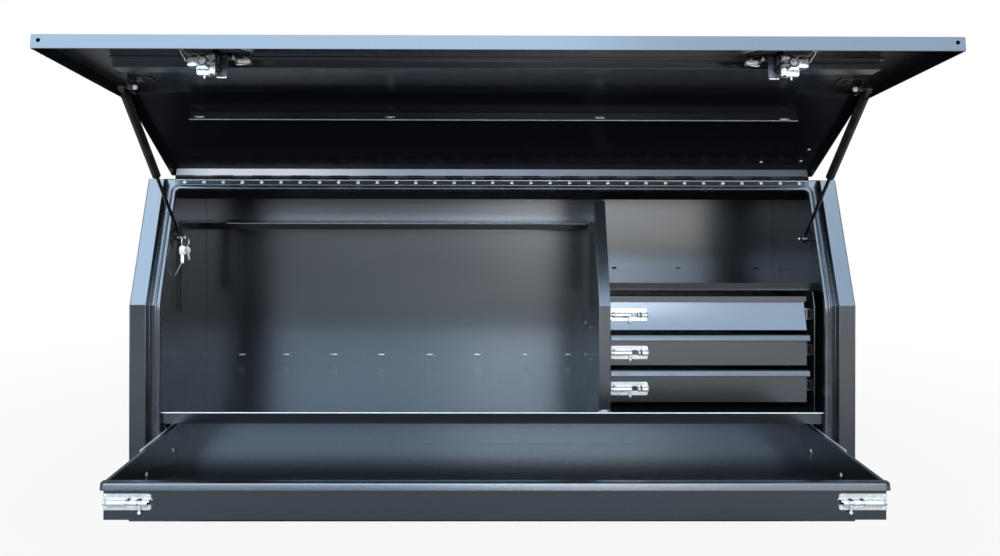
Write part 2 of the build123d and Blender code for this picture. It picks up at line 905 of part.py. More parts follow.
def big_slide_middle():
    inner = big_slide_height - 2 * slide_sheet - 2 * slide_gap
    x0 = big_rail_wall() - slide_sheet - slide_gap
    y0 = big_slide_start() - big_out / 2
    return block(x0, x0 - rail_reach, y0, y0 + big_slide_length, big_slide_z - inner / 2, big_slide_z + inner / 2)


def big_drawer_runner():
    middle_face = big_rail_wall() - slide_sheet - slide_gap - rail_reach
    y0 = big_slide_start() - big_out
    low, high = big_slide_z - big_slide_height / 4, big_slide_z + big_slide_height / 4
    return block(big_x, middle_face - slide_gap, y0, y0 + big_slide_length, low, high)


def slide_carrier():
    # A channel that carries the slide in from the side wall
    wall = big_rail_wall()
    y0 = front_y + jamb_inset
    carrier = block(wall, wall + sheet, y0, y0 + carrier_depth, carrier_low, carrier_high)
    for z in (carrier_low, carrier_high - sheet):
        carrier += block(wall, wall_x, y0, y0 + carrier_depth, z, z + sheet)
    return carrier


def latch_outline(half_x, half_z, taper):
    # Tapers towards the middle of the lid
    points = [(latch_x + half_x, latch_z - half_z), (latch_x + half_x, latch_z + half_z)]
    points += [(latch_x - half_x + taper, latch_z + half_z), (latch_x - half_x, latch_z + half_z - taper)]
    points += [(latch_x - half_x, latch_z - half_z + taper), (latch_x - half_x + taper, latch_z - half_z)]
    return make_face(Polyline(*points, close=True))


def along_front(face, inset0, inset1):
    # An outline of (x, z) carried inwards through the front
    return extrude(Plane.XZ.offset(-(front_y + inset1)) * face, inset1 - inset0)


def latch_block(start, end, half_z, inset):
    # Cast block behind the dish, from start to end along X away from the latch's middle
    y_back = front_y - lid_proud + pocket_depth - pocket_wall
    return block(latch_x + start, latch_x + end, y_back, front_y + inset, latch_z - half_z, latch_z + half_z)


def latch_housing():
    # Flanged dish set in the lid, with the cast spindle boss, the cast body and its ears behind it
    skin = -lid_proud
    dish = along_front(latch_outline(latch_half_x, latch_half_z, latch_taper), skin - latch_plate, skin)
    wall = pocket_wall
    cup = latch_outline(pocket_half_x + wall, pocket_half_z + wall, latch_taper)
    dish += along_front(cup, skin, skin + pocket_depth)
    pocket = latch_outline(pocket_half_x, pocket_half_z, latch_taper)
    dish -= along_front(pocket, skin - latch_plate - 1, skin + pocket_depth - wall)
    y0, y1 = front_y + skin + pocket_depth - wall, front_y + cam_inset - handle_gap
    boss = Rot(90, 0, 0) * Cylinder(2 * spindle_radius, y1 - y0)
    dish += Pos(latch_x, (y0 + y1) / 2, latch_z) * boss
    half, ear = latch_body_half_z, latch_ear_half_z
    dish += latch_block(latch_body_start, latch_body_end, half, latch_body_inset)
    dish += latch_block(latch_body_end, latch_ear_end, ear, latch_ear_inset)
    dish += latch_block(latch_stop_start, latch_stop_end, ear, latch_stop_inset)
    bore = Rot(90, 0, 0) * Cylinder(spindle_radius + spindle_clearance, 4 * (y1 - y0))
    dish -= Pos(latch_x, (y0 + y1) / 2, latch_z) * bore
    return dish + handle_pin_rod(handle_pin_radius, 2 * pocket_half_z + pocket_wall)


def handle_pin():
    # Axis of the folding handle, along Z at the end away from the middle of the lid
    return (latch_x + pocket_half_x - handle_pin_end, front_y - lid_proud + handle_pin_inset)


def handle_pin_rod(radius, length):
    x, y = handle_pin()
    return Pos(x, y, latch_z) * Cylinder(radius, length)


def latch_handle():
    # Folding paddle that fills the dish, with a keyhole near its free end
    outer = -lid_proud - handle_proud
    outline = latch_outline(pocket_half_x - handle_gap, pocket_half_z - handle_gap, latch_taper)
    paddle = along_front(outline, outer, outer + handle_sheet)
    end = latch_x + pocket_half_x
    y = front_y + outer
    paddle -= block(end - handle_end_gap, end, y - 1, y + handle_sheet + 1, latch_z - pocket_half_z,
                    latch_z + pocket_half_z)
    paddle -= handle_pin_rod(handle_pin_radius + stud_clearance, 3 * pocket_half_z)
    lock = Rot(90, 0, 0) * Cylinder(lock_radius, lock_depth)
    return paddle - Pos(latch_x - pocket_half_x / 2, y, latch_z) * lock


def latch_cam():
    # Spindle in the boss, and the tongue that points down behind the striker
    y0 = front_y + cam_inset
    start = front_y - lid_proud + pocket_depth - pocket_wall + handle_gap
    spindle = Rot(90, 0, 0) * Cylinder(spindle_radius, y0 - start)
    tongue = block(latch_x - cam_width / 2, latch_x + cam_width / 2, y0, y0 + cam_sheet,
                   latch_z - cam_length, latch_z + cam_width / 2)
    return tongue + Pos(latch_x, (start + y0) / 2, latch_z) * spindle


def latch_striker():
    # Tab that stands on the sill in front of the cam's tongue
    y = front_y + gutter_depth
    return block(latch_x - striker_width / 2, latch_x + striker_width / 2, y, y + sheet,
                 opening_low, opening_low + striker_rise)


def key(index):
    # Bow with a hole for the ring, and a blade, hanging from the lowest point of the ring
    y, z = ring_centre()
    bow = Rot(90, 0, 0) * Cylinder(key_bow, key_sheet)
    drop = key_bow - key_hole - ring_wire
    blade = Pos(0, 0, -key_bow - key_blade_length / 2 + key_blade_lap) * Box(key_blade_width, key_sheet, key_blade_length)
    hole = Pos(0, 0, drop) * (Rot(90, 0, 0) * Cylinder(key_hole, 4 * key_sheet))
    hang = key_hole - ring_wire - ring_gap / 2
    shape = Pos(0, 0, -drop - hang) * (bow + blade - hole)
    count = len(key_tilts)
    place = Pos(ring_x, y + key_pitch * (index - (count - 1) / 2), z - ring_radius)
    return place * (Rot(0, key_tilts[index], 0) * shape)


def ring_centre():
    # The ring hangs on the stud by the top of its inner edge
    y, z = strut_ends()[0]
    return y, z + stud_radius + ring_gap - (ring_radius - ring_wire)


def key_ring():
    y, z = ring_centre()
    ring = Pos(ring_x, y, z) * (Rot(0, 90, 0) * Torus(ring_radius, ring_wire))
    return [ring] + [key(i) for i in range(len(key_tilts))]


save("base_panel", base_panel())
save("back_panel", back_panel())
save("right_side_panel", side_panel())
save("left_side_panel", mirrored(side_panel()))
save("top_panel", top_panel())
save("right_door_frame", door_frame())
save("left_door_frame", mirrored(door_frame()))
save("header_frame", header_frame())
save("sill_frame", sill_frame())
save("door_seal", door_seal())
save("mid_shelf", mid_shelf())
save("divider", divider())
save("upper_shelf", upper_shelf())
save("drawer_cabinet_side", drawer_cabinet_side())
save("adjustable_shelf", adjustable_shelf())
save("shelf_supports", shelf_supports())
save("shelf_uprights", shelf_uprights())
save("hinge_body_leaf", hinge_body_leaf())
save("hinge_lid_leaf", hinge_lid_leaf())
save("hinge_pin", hinge_pin())
save("hinge_rivets", hinge_rivets())
save("lid_panel", lid_panel())
save("lid_front_stiffener", lid_front_stiffener())
save("lid_rear_stiffener", lid_rear_stiffener())
save("strut_upper_brackets", both_sides(strut_upper_bracket()))
save("strut_lower_brackets", both_sides(strut_lower_bracket()))
save("right_strut_rod", strut_rod())
save("left_strut_rod", mirrored(strut_rod()))
save("right_strut_cylinder", strut_cylinder())
save("left_strut_cylinder", mirrored(strut_cylinder()))
save("slide_carriers", both_sides(slide_carrier()))
save("big_slide_rails", both_sides(big_slide_rail()))
save("big_slide_middles", both_sides(big_slide_middle()))
save("big_drawer_runners", both_sides(big_drawer_runner()))
save("big_drawer_tray", big_drawer_tray())
save("big_drawer_front", big_drawer_front())
save("big_bolt_plates", both_sides(big_bolt_plate()))
save("right_big_bolt", big_bolt())
save("left_big_bolt", mirrored(big_bolt()))
save("small_slide_rails", small_slide_rails())
for number, name in enumerate(("lower", "middle", "upper")):
    save(f"{name}_drawer_tray", small_tray(number))
    save(f"{name}_drawer_runners", small_runners(number))
    save(f"{name}_bolt_plate", small_bolt_plate(number))
    save(f"{name}_bolt", small_bolt(number))
save("latch_housings", both_sides(opened(latch_housing())))
save("right_latch_handle", opened(latch_handle()))
save("left_latch_handle", mirrored(opened(latch_handle())))
save("right_latch_cam", opened(latch_cam()))
save("left_latch_cam", mirrored(opened(latch_cam())))
save("latch_strikers", both_sides(latch_striker()))
save("key_ring", key_ring())
print("strut ends", strut_ends(), "length", strut_length())
print("hinge axis", hinge_y, hinge_z)
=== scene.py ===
import json
from math import atan2, cos, pi, radians, sin, tan

import bmesh
import bpy
import numpy as np
from mathutils import Euler, Matrix, Vector
from mathutils.bvhtree import BVHTree

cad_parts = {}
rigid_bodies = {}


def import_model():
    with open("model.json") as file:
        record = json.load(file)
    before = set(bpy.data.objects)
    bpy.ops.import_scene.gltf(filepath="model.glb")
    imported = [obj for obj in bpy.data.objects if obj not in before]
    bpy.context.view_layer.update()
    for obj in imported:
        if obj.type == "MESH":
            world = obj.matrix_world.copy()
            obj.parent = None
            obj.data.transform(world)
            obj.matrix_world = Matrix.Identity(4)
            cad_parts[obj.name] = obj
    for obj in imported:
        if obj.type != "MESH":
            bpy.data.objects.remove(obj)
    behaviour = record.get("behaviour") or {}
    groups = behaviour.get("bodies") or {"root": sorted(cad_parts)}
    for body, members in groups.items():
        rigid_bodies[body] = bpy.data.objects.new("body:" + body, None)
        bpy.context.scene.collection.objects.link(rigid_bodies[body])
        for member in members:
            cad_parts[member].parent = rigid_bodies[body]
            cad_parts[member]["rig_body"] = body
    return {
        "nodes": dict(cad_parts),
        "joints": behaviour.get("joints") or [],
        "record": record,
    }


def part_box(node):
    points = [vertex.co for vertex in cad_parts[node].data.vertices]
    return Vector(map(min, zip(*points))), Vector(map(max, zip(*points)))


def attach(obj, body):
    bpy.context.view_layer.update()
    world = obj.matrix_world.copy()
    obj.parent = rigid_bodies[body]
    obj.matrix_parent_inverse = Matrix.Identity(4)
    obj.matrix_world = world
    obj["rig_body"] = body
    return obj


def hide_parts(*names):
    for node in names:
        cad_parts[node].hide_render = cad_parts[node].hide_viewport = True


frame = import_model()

nodes = frame["nodes"]
joints = {j["name"]: j for j in frame["joints"]}
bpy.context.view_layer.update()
print("toolbox: frame loaded,", len(nodes), "nodes")


# Shader maths: a wrapped socket that adds its Math nodes when it is used in a sum

class Wire:
    def __init__(self, shader, socket):
        self.shader, self.socket = shader, socket

    def maths(self, operation, first, second):
        return self.shader.node("ShaderNodeMath", {"operation": operation}, {0: first, 1: second})

    def __add__(self, other): return self.maths("ADD", self, other)
    def __radd__(self, other): return self.maths("ADD", other, self)
    def __sub__(self, other): return self.maths("SUBTRACT", self, other)
    def __rsub__(self, other): return self.maths("SUBTRACT", other, self)
    def __mul__(self, other): return self.maths("MULTIPLY", self, other)
    def __rmul__(self, other): return self.maths("MULTIPLY", other, self)


class Shader:
    def __init__(self, owner):
        # The owner is the world, or the name of a new material
        self.owner = bpy.data.materials.new(owner) if isinstance(owner, str) else owner
        self.owner.use_nodes = True
        self.tree = self.owner.node_tree
        self.tree.nodes.clear()

    def node(self, kind, settings=None, values=None, out=0):
        made = self.tree.nodes.new(kind)
        for key, value in (settings or {}).items():
            if key == "stops":
                while len(made.color_ramp.elements) < len(value):
                    made.color_ramp.elements.new(0.5)
                for stop, (place, tint) in zip(made.color_ramp.elements, value):
                    stop.position, stop.color = place, (*tint, 1)
            else:
                setattr(made, key, value)
        for key, value in (values or {}).items():
            if isinstance(value, Wire):
                self.tree.links.new(value.socket, made.inputs[key])
            else:
                made.inputs[key].default_value = value
        return Wire(self, made.outputs[out]) if made.outputs else None

    def place(self, scale=(1, 1, 1), turn=(0, 0, 0)):
        here = self.node("ShaderNodeTexCoord", out="Object")
        return self.node("ShaderNodeMapping", values={"Vector": here, "Scale": scale, "Rotation": turn})

    def axis(self, letter, at=None):
        return self.node("ShaderNodeSeparateXYZ", values={0: at or self.place()}, out=letter)

    def noise(self, scale, detail=2.0, rough=0.5, at=None):
        return self.node("ShaderNodeTexNoise", values={"Vector": at or self.place(), "Scale": scale,
                                                       "Detail": detail, "Roughness": rough})

    def spread(self, wire, low, high, dark=0.0, light=1.0):
        return self.node("ShaderNodeMapRange", {"interpolation_type": "SMOOTHSTEP"},
                         {0: wire, 1: low, 2: high, 3: dark, 4: light})

    def blend(self, mask, first, second):
        return self.node("ShaderNodeMix", {"data_type": "RGBA"}, {0: mask, 6: first, 7: second}, out=2)

    def bump(self, height, distance):
        return self.node("ShaderNodeBump", values={"Height": height, "Distance": distance, "Strength": 1.0})

    def principled(self, **values):
        named = {key.replace("_", " "): value for key, value in values.items()}
        return self.node("ShaderNodeBsdfPrincipled", values=named)

    def mixed(self, mask, first, second):
        return self.node("ShaderNodeMixShader", values={0: mask, 1: first, 2: second})

    def shown(self, shade, output="ShaderNodeOutputMaterial"):
        self.node(output, values={"Surface": shade})
        return self.owner

    def surface(self, **values):
        return self.shown(self.principled(**values))


def rgb(red, green, blue):
    return (red, green, blue, 1)


coat = {"dark": rgb(0.0036, 0.0040, 0.0054), "pale": rgb(0.0050, 0.0054, 0.0068), "ior": 2.05,
        "dust": rgb(0.03, 0.031, 0.033), "sheen": rgb(0.84, 0.92, 1.0), "smooth": 0.19, "rough": 0.22,
        "paintedShadeIor": 1.12, "patches": (3.0, 2.0, 0.4), "wipes": (2.0, 2.0, 0.4), "wipeScale": (1, 1, 3),
        "wipeTurn": (0.4, 0.2, 0.7), "toneSpan": (0.2, 0.8), "specks": (420, 1.0), "speckSpan": (0.745, 0.77),
        "peel": (620, 2.0, 0.5), "waves": (70, 1.0), "peelHeight": 0.00008, "awaySpan": (-0.2, 0.0)}


def powderCoat(name="powderCoat", fade=None):
    # Near-black satin with a fine orange peel, wiped patches in the gloss and a few specks of dust.
    # With fade, the sheen of faces turned to the viewer falls to the share "least" as one coordinate
    # goes from "to" down to "from": painted shade, which darkens those faces where shade falls on them.
    s, c = Shader(name), coat
    patches = s.noise(*c["patches"])
    wipes = s.noise(*c["wipes"], s.place(c["wipeScale"], c["wipeTurn"]))
    specks = s.spread(s.noise(*c["specks"]), *c["speckSpan"])
    tone = s.spread(patches * 0.6 + wipes * 0.4, *c["toneSpan"])
    base = s.blend(specks * 0.5, s.blend(tone, c["dark"], c["pale"]), c["dust"])
    gloss = s.spread(wipes * 0.7 + patches * 0.3, *c["toneSpan"], c["smooth"], c["rough"])
    normal = s.bump(s.noise(*c["peel"]) + s.noise(*c["waves"]) * 0.6, c["peelHeight"])
    values = {"Base_Color": base, "Roughness": gloss + specks * 0.2, "Specular_Tint": c["sheen"],
              "Normal": normal}
    if not fade:
        return s.surface(IOR=c["ior"], **values)
    away = s.spread(s.axis("Y", s.node("ShaderNodeTexCoord", out="Normal")), *c["awaySpan"])
    seen = s.spread(s.axis(fade["axis"]), fade["from"], fade["to"], fade["least"], 1.0)
    seen = s.node("ShaderNodeMath", {"operation": "MAXIMUM"}, {0: seen, 1: away})
    # The dull shader is painted shade: where the mask falls, the reflection is dimmed
    dull, glossy = s.principled(IOR=c["paintedShadeIor"], **values), s.principled(IOR=c["ior"], **values)
    return s.shown(s.mixed(seen, dull, glossy))


zinc = {"bright": rgb(0.74, 0.72, 0.68), "dull": rgb(0.60, 0.59, 0.57), "metal": 0.55, "smooth": 0.30,
        "rough": 0.40, "span": (0.35, 0.65)}


def zincPlate():
    # Bright plating with a cloudy passivated film and fine scuffs
    s = Shader("zincPlate")
    clouds = s.noise(160, 4.0, 0.6)
    scuffs = s.noise(60, 3.0, 0.7, s.place((1, 1, 14), (0, 0, 0.3)))
    base = s.blend(s.spread(clouds, *zinc["span"]), zinc["dull"], zinc["bright"])
    gloss = s.spread(scuffs * 0.5 + clouds * 0.5, *zinc["span"], zinc["smooth"], zinc["rough"])
    return s.surface(Base_Color=base, Metallic=zinc["metal"], Roughness=gloss, Normal=s.bump(scuffs, 0.00001))


def paleZinc():
    # Matt plating of the studs and rivet heads, made near white as a painted highlight of the light they
    # catch
    s = Shader("paleZinc")
    clouds = s.noise(300, 3.0, 0.6)
    base = s.blend(s.spread(clouds, 0.3, 0.7), rgb(0.80, 0.79, 0.76), rgb(0.92, 0.91, 0.88))
    return s.surface(Base_Color=base, Metallic=0.10, Roughness=0.28 + clouds * 0.1,
                     Normal=s.bump(clouds, 0.00002))


def holeBlack():
    # Near black, painted shade: the inside of a drilled hole, and the welds of the upper shelf that lie in
    # shade
    s = Shader("holeBlack")
    shadeMottle = s.noise(500, 2.0)
    return s.surface(Base_Color=s.blend(shadeMottle, rgb(0.001, 0.001, 0.001), rgb(0.002, 0.002, 0.002)),
                     Roughness=0.9 + shadeMottle * 0.1, Specular_IOR_Level=0.0)


# The hinge leaves: "lid" and "body" are the heights at which the knuckle goes over to the strip; the knuckles
# are painted near black as shade. "rest" are the spans along X in which the strip's colour goes over to the
# next: painted light, bright near the left end, and painted shade that darkens it to the right
leaf = {"lid": (0.8082, 0.8088), "body": (0.7985, 0.7995), "knuckle": rgb(0.010, 0.010, 0.012),
        "start": rgb(0.42, 0.44, 0.48),
        "rest": [((-0.80, -0.62), rgb(0.93, 0.90, 0.86)), ((-0.48, -0.15), rgb(0.42, 0.45, 0.51)),
                 ((-0.15, 0.80), rgb(0.15, 0.16, 0.19))]}


def leafSteel():
    # The lid's leaf: a bare satin strip, brushed along its length, with painted light near its left end and
    # painted shade that darkens it to the right, over knuckles painted near black as shade
    s = Shader("leafSteel")
    grain = s.noise(50, 4.0, 0.7, s.place((0.2, 8, 8)))
    # Painted light and shade along X: each span takes the strip's colour over to the next tint
    across, base = s.axis("X"), leaf["start"]
    for span, tint in leaf["rest"]:
        base = s.blend(s.spread(across + grain * 0.1, *span), base, tint)
    strip = s.spread(s.axis("Z"), *leaf["lid"])
    return s.surface(Base_Color=s.blend(strip, leaf["knuckle"], base), Metallic=0.08,
                     Roughness=0.42 + grain * 0.14, Normal=s.bump(grain, 0.00005))


def leafPaint():
    # The body leaf: painted like the box up to its knuckles, which are metal painted near black as shade
    s = Shader("leafPaint")
    bare = s.spread(s.axis("Z"), *leaf["body"])
    worn = s.noise(60, 3.0, 0.6)
    return s.surface(Base_Color=s.blend(bare, coat["pale"], leaf["knuckle"]), Metallic=bare * 0.9,
                     Roughness=0.30 + worn * 0.10, IOR=coat["ior"], Specular_Tint=coat["sheen"],
                     Normal=s.bump(worn, 0.00003))


def keyBrass():
    # Worn nickel over brass: the round key, the folding handles and the latch wedges; on two edge beads the
    # same bright colour is a painted highlight
    s = Shader("keyBrass")
    wear = s.spread(s.noise(260, 4.0, 0.6), 0.4, 0.7)
    base = s.blend(wear, rgb(0.36, 0.33, 0.29), rgb(0.52, 0.49, 0.44))
    return s.surface(Base_Color=base, Metallic=0.55, Roughness=0.35 + wear * 0.15,
                     Normal=s.bump(wear, 0.0001))


# Finishes of one pattern: the noise "tone", spread over "span" where there is one, takes the colour from the
# first of "tints" to the second and adds to the roughness; the noise "relief", or else the first noise,
# raises the surface
plainFinishes = {
    # Extruded rubber: satin, slightly grey on the ridges
    "sealRubber": {"tone": (14, 4.0, 0.6), "span": (0.4, 0.7), "relief": (900, 3.0), "height": 0.00003,
                   "tints": (rgb(0.010, 0.010, 0.012), rgb(0.024, 0.025, 0.028)), "rough": (0.22, 0.12),
                   "other": {"IOR": 1.95, "Specular_Tint": coat["sheen"]}},
    # Black-passivated steel, greyer where the mill grain shows
    "darkZinc": {"tone": (40, 3.0, 0.6), "scale": (0.3, 6, 6), "span": (0.35, 0.7), "height": 0.00004,
                 "tints": (rgb(0.035, 0.037, 0.042), rgb(0.075, 0.077, 0.082)), "rough": (0.30, 0.12),
                 "other": {"Metallic": 0.9}},
    # Dark-plated steel of the latch dish, with faint waves
    "polishedSteel": {"tone": (300, 4.0, 0.6), "span": (0.5, 0.75), "relief": (90, 2.0), "height": 0.0001,
                      "tints": (rgb(0.035, 0.035, 0.038), rgb(0.025, 0.025, 0.028)), "rough": (0.16, 0.15),
                      "other": {"Metallic": 1.0}},
    # Fused steel, silvery with a burnt rim
    "weldBead": {"tone": (160, 3.0), "span": (0.45, 0.7), "relief": (900, 3.0, 0.6), "height": 0.0002,
                 "tints": (rgb(0.62, 0.62, 0.62), rgb(0.22, 0.20, 0.19)), "rough": (0.3, 0.25),
                 "other": {"Metallic": 0.7}},
    # Extruded plastic trim on the small drawers' lips
    "edgeTrim": {"tone": (24, 4.0, 0.6), "span": (0.4, 0.7), "relief": (700, 3.0), "height": 0.00006,
                 "tints": (rgb(0.010, 0.011, 0.013), rgb(0.018, 0.019, 0.021)), "rough": (0.30, 0.08),
                 "other": {"IOR": 1.84, "Specular_Tint": coat["sheen"]}},
    # Strut tubes and brackets: painted gloss black
    "glossBlack": {"tone": (30, 5.0, 0.7), "span": (0.45, 0.8), "relief": (240, 2.0), "height": 0.00004,
                   "tints": (rgb(0.010, 0.010, 0.011), rgb(0.03, 0.03, 0.032)), "rough": (0.2, 0.15),
                   "other": {"IOR": 1.5}},
    # Dark hardened rod with a drawn grain along its length
    "nitridedRod": {"tone": (300, 2.0, 0.5), "scale": (8, 1, 1), "height": 0.00003,
                    "tints": (rgb(0.09, 0.09, 0.095), rgb(0.20, 0.20, 0.21)), "rough": (0.24, 0.1),
                    "other": {"Metallic": 1.0}},
    # Bright die casting: soft lumps under a plated skin
    "castZinc": {"tone": (90, 3.0), "span": (0.4, 0.7), "relief": (220, 4.0, 0.55), "height": 0.00018,
                 "tints": (rgb(0.74, 0.73, 0.70), rgb(0.50, 0.495, 0.48)), "rough": (0.20, 0.14),
                 "other": {"Metallic": 0.75}}}


def plainFinish(name):
    s, c = Shader(name), plainFinishes[name]
    grain = s.noise(*c["tone"], at=s.place(c["scale"]) if "scale" in c else None)
    tone = s.spread(grain, *c["span"]) if "span" in c else grain
    relief = s.noise(*c["relief"]) if "relief" in c else grain
    least, more = c["rough"]
    return s.surface(Base_Color=s.blend(tone, *c["tints"]), Roughness=least + tone * more,
                     Normal=s.bump(relief, c["height"]), **c["other"])


finishes = {"powder_coat": powderCoat(), "seal_rubber": plainFinish("sealRubber"), "zinc": zincPlate(),
            "hinge_steel": plainFinish("darkZinc"), "strut_black": plainFinish("glossBlack"),
            "strut_rod": plainFinish("nitridedRod"), "latch_cast": plainFinish("castZinc")}
slotOf = {part["node"]: part["material_slot"] for part in frame["record"]["subparts"]}
palePlatePaintedHighlight, nickelAndPaintedHighlight = paleZinc(), keyBrass()
# Painted shade: the inside of the lid is dulled up to its bend, and two shelves are dulled on their front
# lips, which end between these depths behind the front edge, so that their reflections go dark as in shade
lidPaintedShade = {"axis": "Z", "from": 0.975, "to": 1.03, "least": 0.10}
lipDepths = (0.0021, 0.0032)


def lipPaintedShade(node, least):
    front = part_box(node)[0].y
    return {"axis": "Y", "from": front + lipDepths[0], "to": front + lipDepths[1], "least": least}


special = {"hinge_lid_leaf": leafSteel(), "hinge_body_leaf": leafPaint(),
           "latch_housings": plainFinish("polishedSteel"),
           "left_latch_handle": nickelAndPaintedHighlight, "right_latch_handle": nickelAndPaintedHighlight,
           "lid_panel": powderCoat("lidCoat", lidPaintedShade),
           "adjustable_shelf": powderCoat("looseShelfCoat", lipPaintedShade("adjustable_shelf", 0.12)),
           "upper_shelf": powderCoat("upperShelfCoat", lipPaintedShade("upper_shelf", 0.30))}
for node, slot in slotOf.items():
    mesh = nodes[node].data
    mesh.materials.clear()
    mesh.materials.append(special.get(node) or finishes[slot])
print("toolbox: finishes on the frame's nodes")


# Stage: pale floor that fades into white, broad soft light from the front

# The floor's own colour carries painted shade and light: "near" is dark close to the box, "far" brighter and
# warm, and it is dimmer to the left; the camera sees it mostly white, reflections see these tints
stage = {"reach": 14.0, "lines": 15, "fadeFrom": 1.0, "fadeTo": 3.2, "least": 0.92, "nearTo": 0.9,
         "farFrom": 2.4, "near": rgb(0.20, 0.20, 0.20), "far": rgb(0.56, 0.49, 0.42), "leftPaintedShade": 0.62,
         "leftSpan": (-1.8, 0.6), "rough": 0.7, "ior": 1.3, "white": rgb(1, 1, 1)}


def floorFinish():
    s, c = Shader("paleFloor"), stage
    far = s.node("ShaderNodeVectorMath", {"operation": "LENGTH"}, {0: s.place((1, 1, 0))}, out="Value")
    grain = s.noise(35, 4.0, 0.6)
    side = s.spread(s.axis("X"), *c["leftSpan"], 1 - c["leftPaintedShade"], 1)
    # Painted shade near the box and to the left, painted light far off
    base = s.blend((s.spread(far, c["nearTo"], c["farFrom"]) - grain * 0.1) * side, c["near"], c["far"])
    matt = s.principled(Base_Color=base, Roughness=c["rough"], IOR=c["ior"])
    seen = s.node("ShaderNodeLightPath", out="Is Camera Ray")
    plain = s.node("ShaderNodeEmission", values={"Color": c["white"], "Strength": 1.0})
    mask = s.spread(far, c["fadeFrom"], c["fadeTo"], c["least"], 1.0) * seen
    return s.shown(s.mixed(mask, matt, plain))


def gridFaces(rows, columns, closeRows=False, closeColumns=False):
    # Quads between neighbouring rows and columns of a grid of points
    i, j = np.meshgrid(np.arange(rows - (not closeRows)), np.arange(columns - (not closeColumns)),
                       indexing="ij")
    down, across = (i + 1) % rows, (j + 1) % columns
    corners = (i * columns + j, down * columns + j, down * columns + across, i * columns + across)
    return np.stack(corners, -1).reshape(-1, 4)


def newPiece(name, points, faces, finish, sharp=32, tidyNormals=True, facing=None):
    # Normals are turned outwards, and those of an open sheet to the side that facing points to
    mesh = bpy.data.meshes.new(name)
    corners = np.asarray(points, float).reshape(-1, 3).tolist()
    mesh.from_pydata(corners, [], [list(map(int, f)) for f in faces])
    if tidyNormals:
        work = bmesh.new()
        work.from_mesh(mesh)
        bmesh.ops.remove_doubles(work, verts=work.verts, dist=1e-6)
        bmesh.ops.recalc_face_normals(work, faces=work.faces)
        if facing is not None and sum(f.normal.dot(Vector(facing)) * f.calc_area() for f in work.faces) < 0:
            bmesh.ops.reverse_faces(work, faces=work.faces)
        work.to_mesh(mesh)
        work.free()
    mesh.materials.append(finish)
    mesh.shade_smooth()
    mesh.set_sharp_from_angle(angle=radians(sharp))
    piece = bpy.data.objects.new(name, mesh)
    bpy.context.scene.collection.objects.link(piece)
    return piece


def makeFloor():
    count = stage["lines"]
    side = np.linspace(-stage["reach"], stage["reach"], count)
    x, y = np.meshgrid(side, side, indexing="ij")
    points = np.stack([x, y, np.zeros_like(x)], -1)
    newPiece("studioFloor", points, gridFaces(count, count), floorFinish(), tidyNormals=False)


lamps = {"left": {"size": (4.6, 3.4), "at": (-1.6, -3.75, 2.45), "power": 290, "tint": (0.64, 0.81, 1.0)},
         "right": {"size": (2.3, 3.4), "at": (1.85, -3.75, 2.45), "power": 98, "tint": (0.64, 0.81, 1.0)},
         "glow": {"size": (1.3, 0.7), "at": (0.5, -3.5, 1.15), "power": 17, "tint": (0.92, 0.96, 1.0)},
         "warm": {"size": (2.6, 0.7), "at": (1.5, -4.2, 0.45), "power": 9, "tint": (1.0, 0.88, 0.76)},
         "high": {"size": (6.0, 0.9), "at": (0, -2.2, 3.7), "power": 70, "tint": (1.0, 0.97, 0.93)},
         "top": {"size": (4.0, 2.4), "at": (0, 1.4, 3.6), "power": 60, "tint": (1, 1, 1)}}
aimPoint = Vector((0, -0.2, 0.45))


def makeLights():
    for name, card in lamps.items():
        light = bpy.data.lights.new(name, "AREA")
        light.shape = "RECTANGLE"
        light.size, light.size_y = card["size"]
        light.energy, light.color = card["power"], card["tint"]
        lamp = bpy.data.objects.new(name + "Lamp", light)
        lamp.location = card["at"]
        ahead = aimPoint - Vector(card["at"])
        lamp.rotation_euler = Vector((0, ahead.y, ahead.z)).to_track_quat("-Z", "Y").to_euler()
        bpy.context.scene.collection.objects.link(lamp)


sky = {"low": (0.95, 0.86, 0.78), "mid": (0.20, 0.22, 0.25), "high": (0.22, 0.25, 0.30)}


def makeWorld():
    # White to the camera; a dim room with a warm horizon to everything else
    world = bpy.data.worlds.new("studioAir")
    bpy.context.scene.world = world
    s = Shader(world)
    rise = s.axis("Z", s.node("ShaderNodeTexCoord", out="Generated"))
    shade = s.node("ShaderNodeValToRGB", {"stops": [(0.0, sky["low"]), (0.09, sky["low"]), (0.24, sky["mid"]),
                                                    (1.0, sky["high"])]}, {0: rise})
    seen = s.node("ShaderNodeLightPath", out="Is Camera Ray")
    room = s.node("ShaderNodeBackground", values={0: shade, 1: 1.0})
    white = s.node("ShaderNodeBackground", values={0: stage["white"], 1: 1.0})
    s.shown(s.mixed(seen, room, white), "ShaderNodeOutputWorld")


def makeCamera():
    camera = bpy.data.cameras.new("photoCamera")
    camera.lens, camera.sensor_width = view["lens"], view["sensor"]
    camera.shift_x, camera.shift_y = view["shift"]
    holder = bpy.data.objects.new("photoCamera", camera)
    holder.rotation_euler = viewTurn().to_euler()
    holder.location = view["at"]
    bpy.context.scene.collection.objects.link(holder)
    bpy.context.scene.camera = holder
    bpy.context.scene.view_settings.view_transform = "Standard"


# Sheet metal: a copy of each folded node with its edges eased, so that they catch the light

edges = {"width": 0.0006, "segments": 2, "sharper": radians(40), "merge": 1e-5, "flat": radians(0.5),
         "soft": radians(30)}
sheetNodes = ["base_panel", "back_panel", "left_side_panel", "right_side_panel", "top_panel",
              "left_door_frame", "right_door_frame", "header_frame", "sill_frame", "mid_shelf", "divider",
              "upper_shelf", "drawer_cabinet_side", "adjustable_shelf", "shelf_supports", "shelf_uprights",
              "slide_carriers", "latch_strikers", "lid_panel", "lid_front_stiffener", "lid_rear_stiffener",
              "big_drawer_tray", "lower_drawer_tray", "middle_drawer_tray", "upper_drawer_tray",
              "left_latch_handle", "right_latch_handle", "strut_lower_brackets", "strut_upper_brackets"]


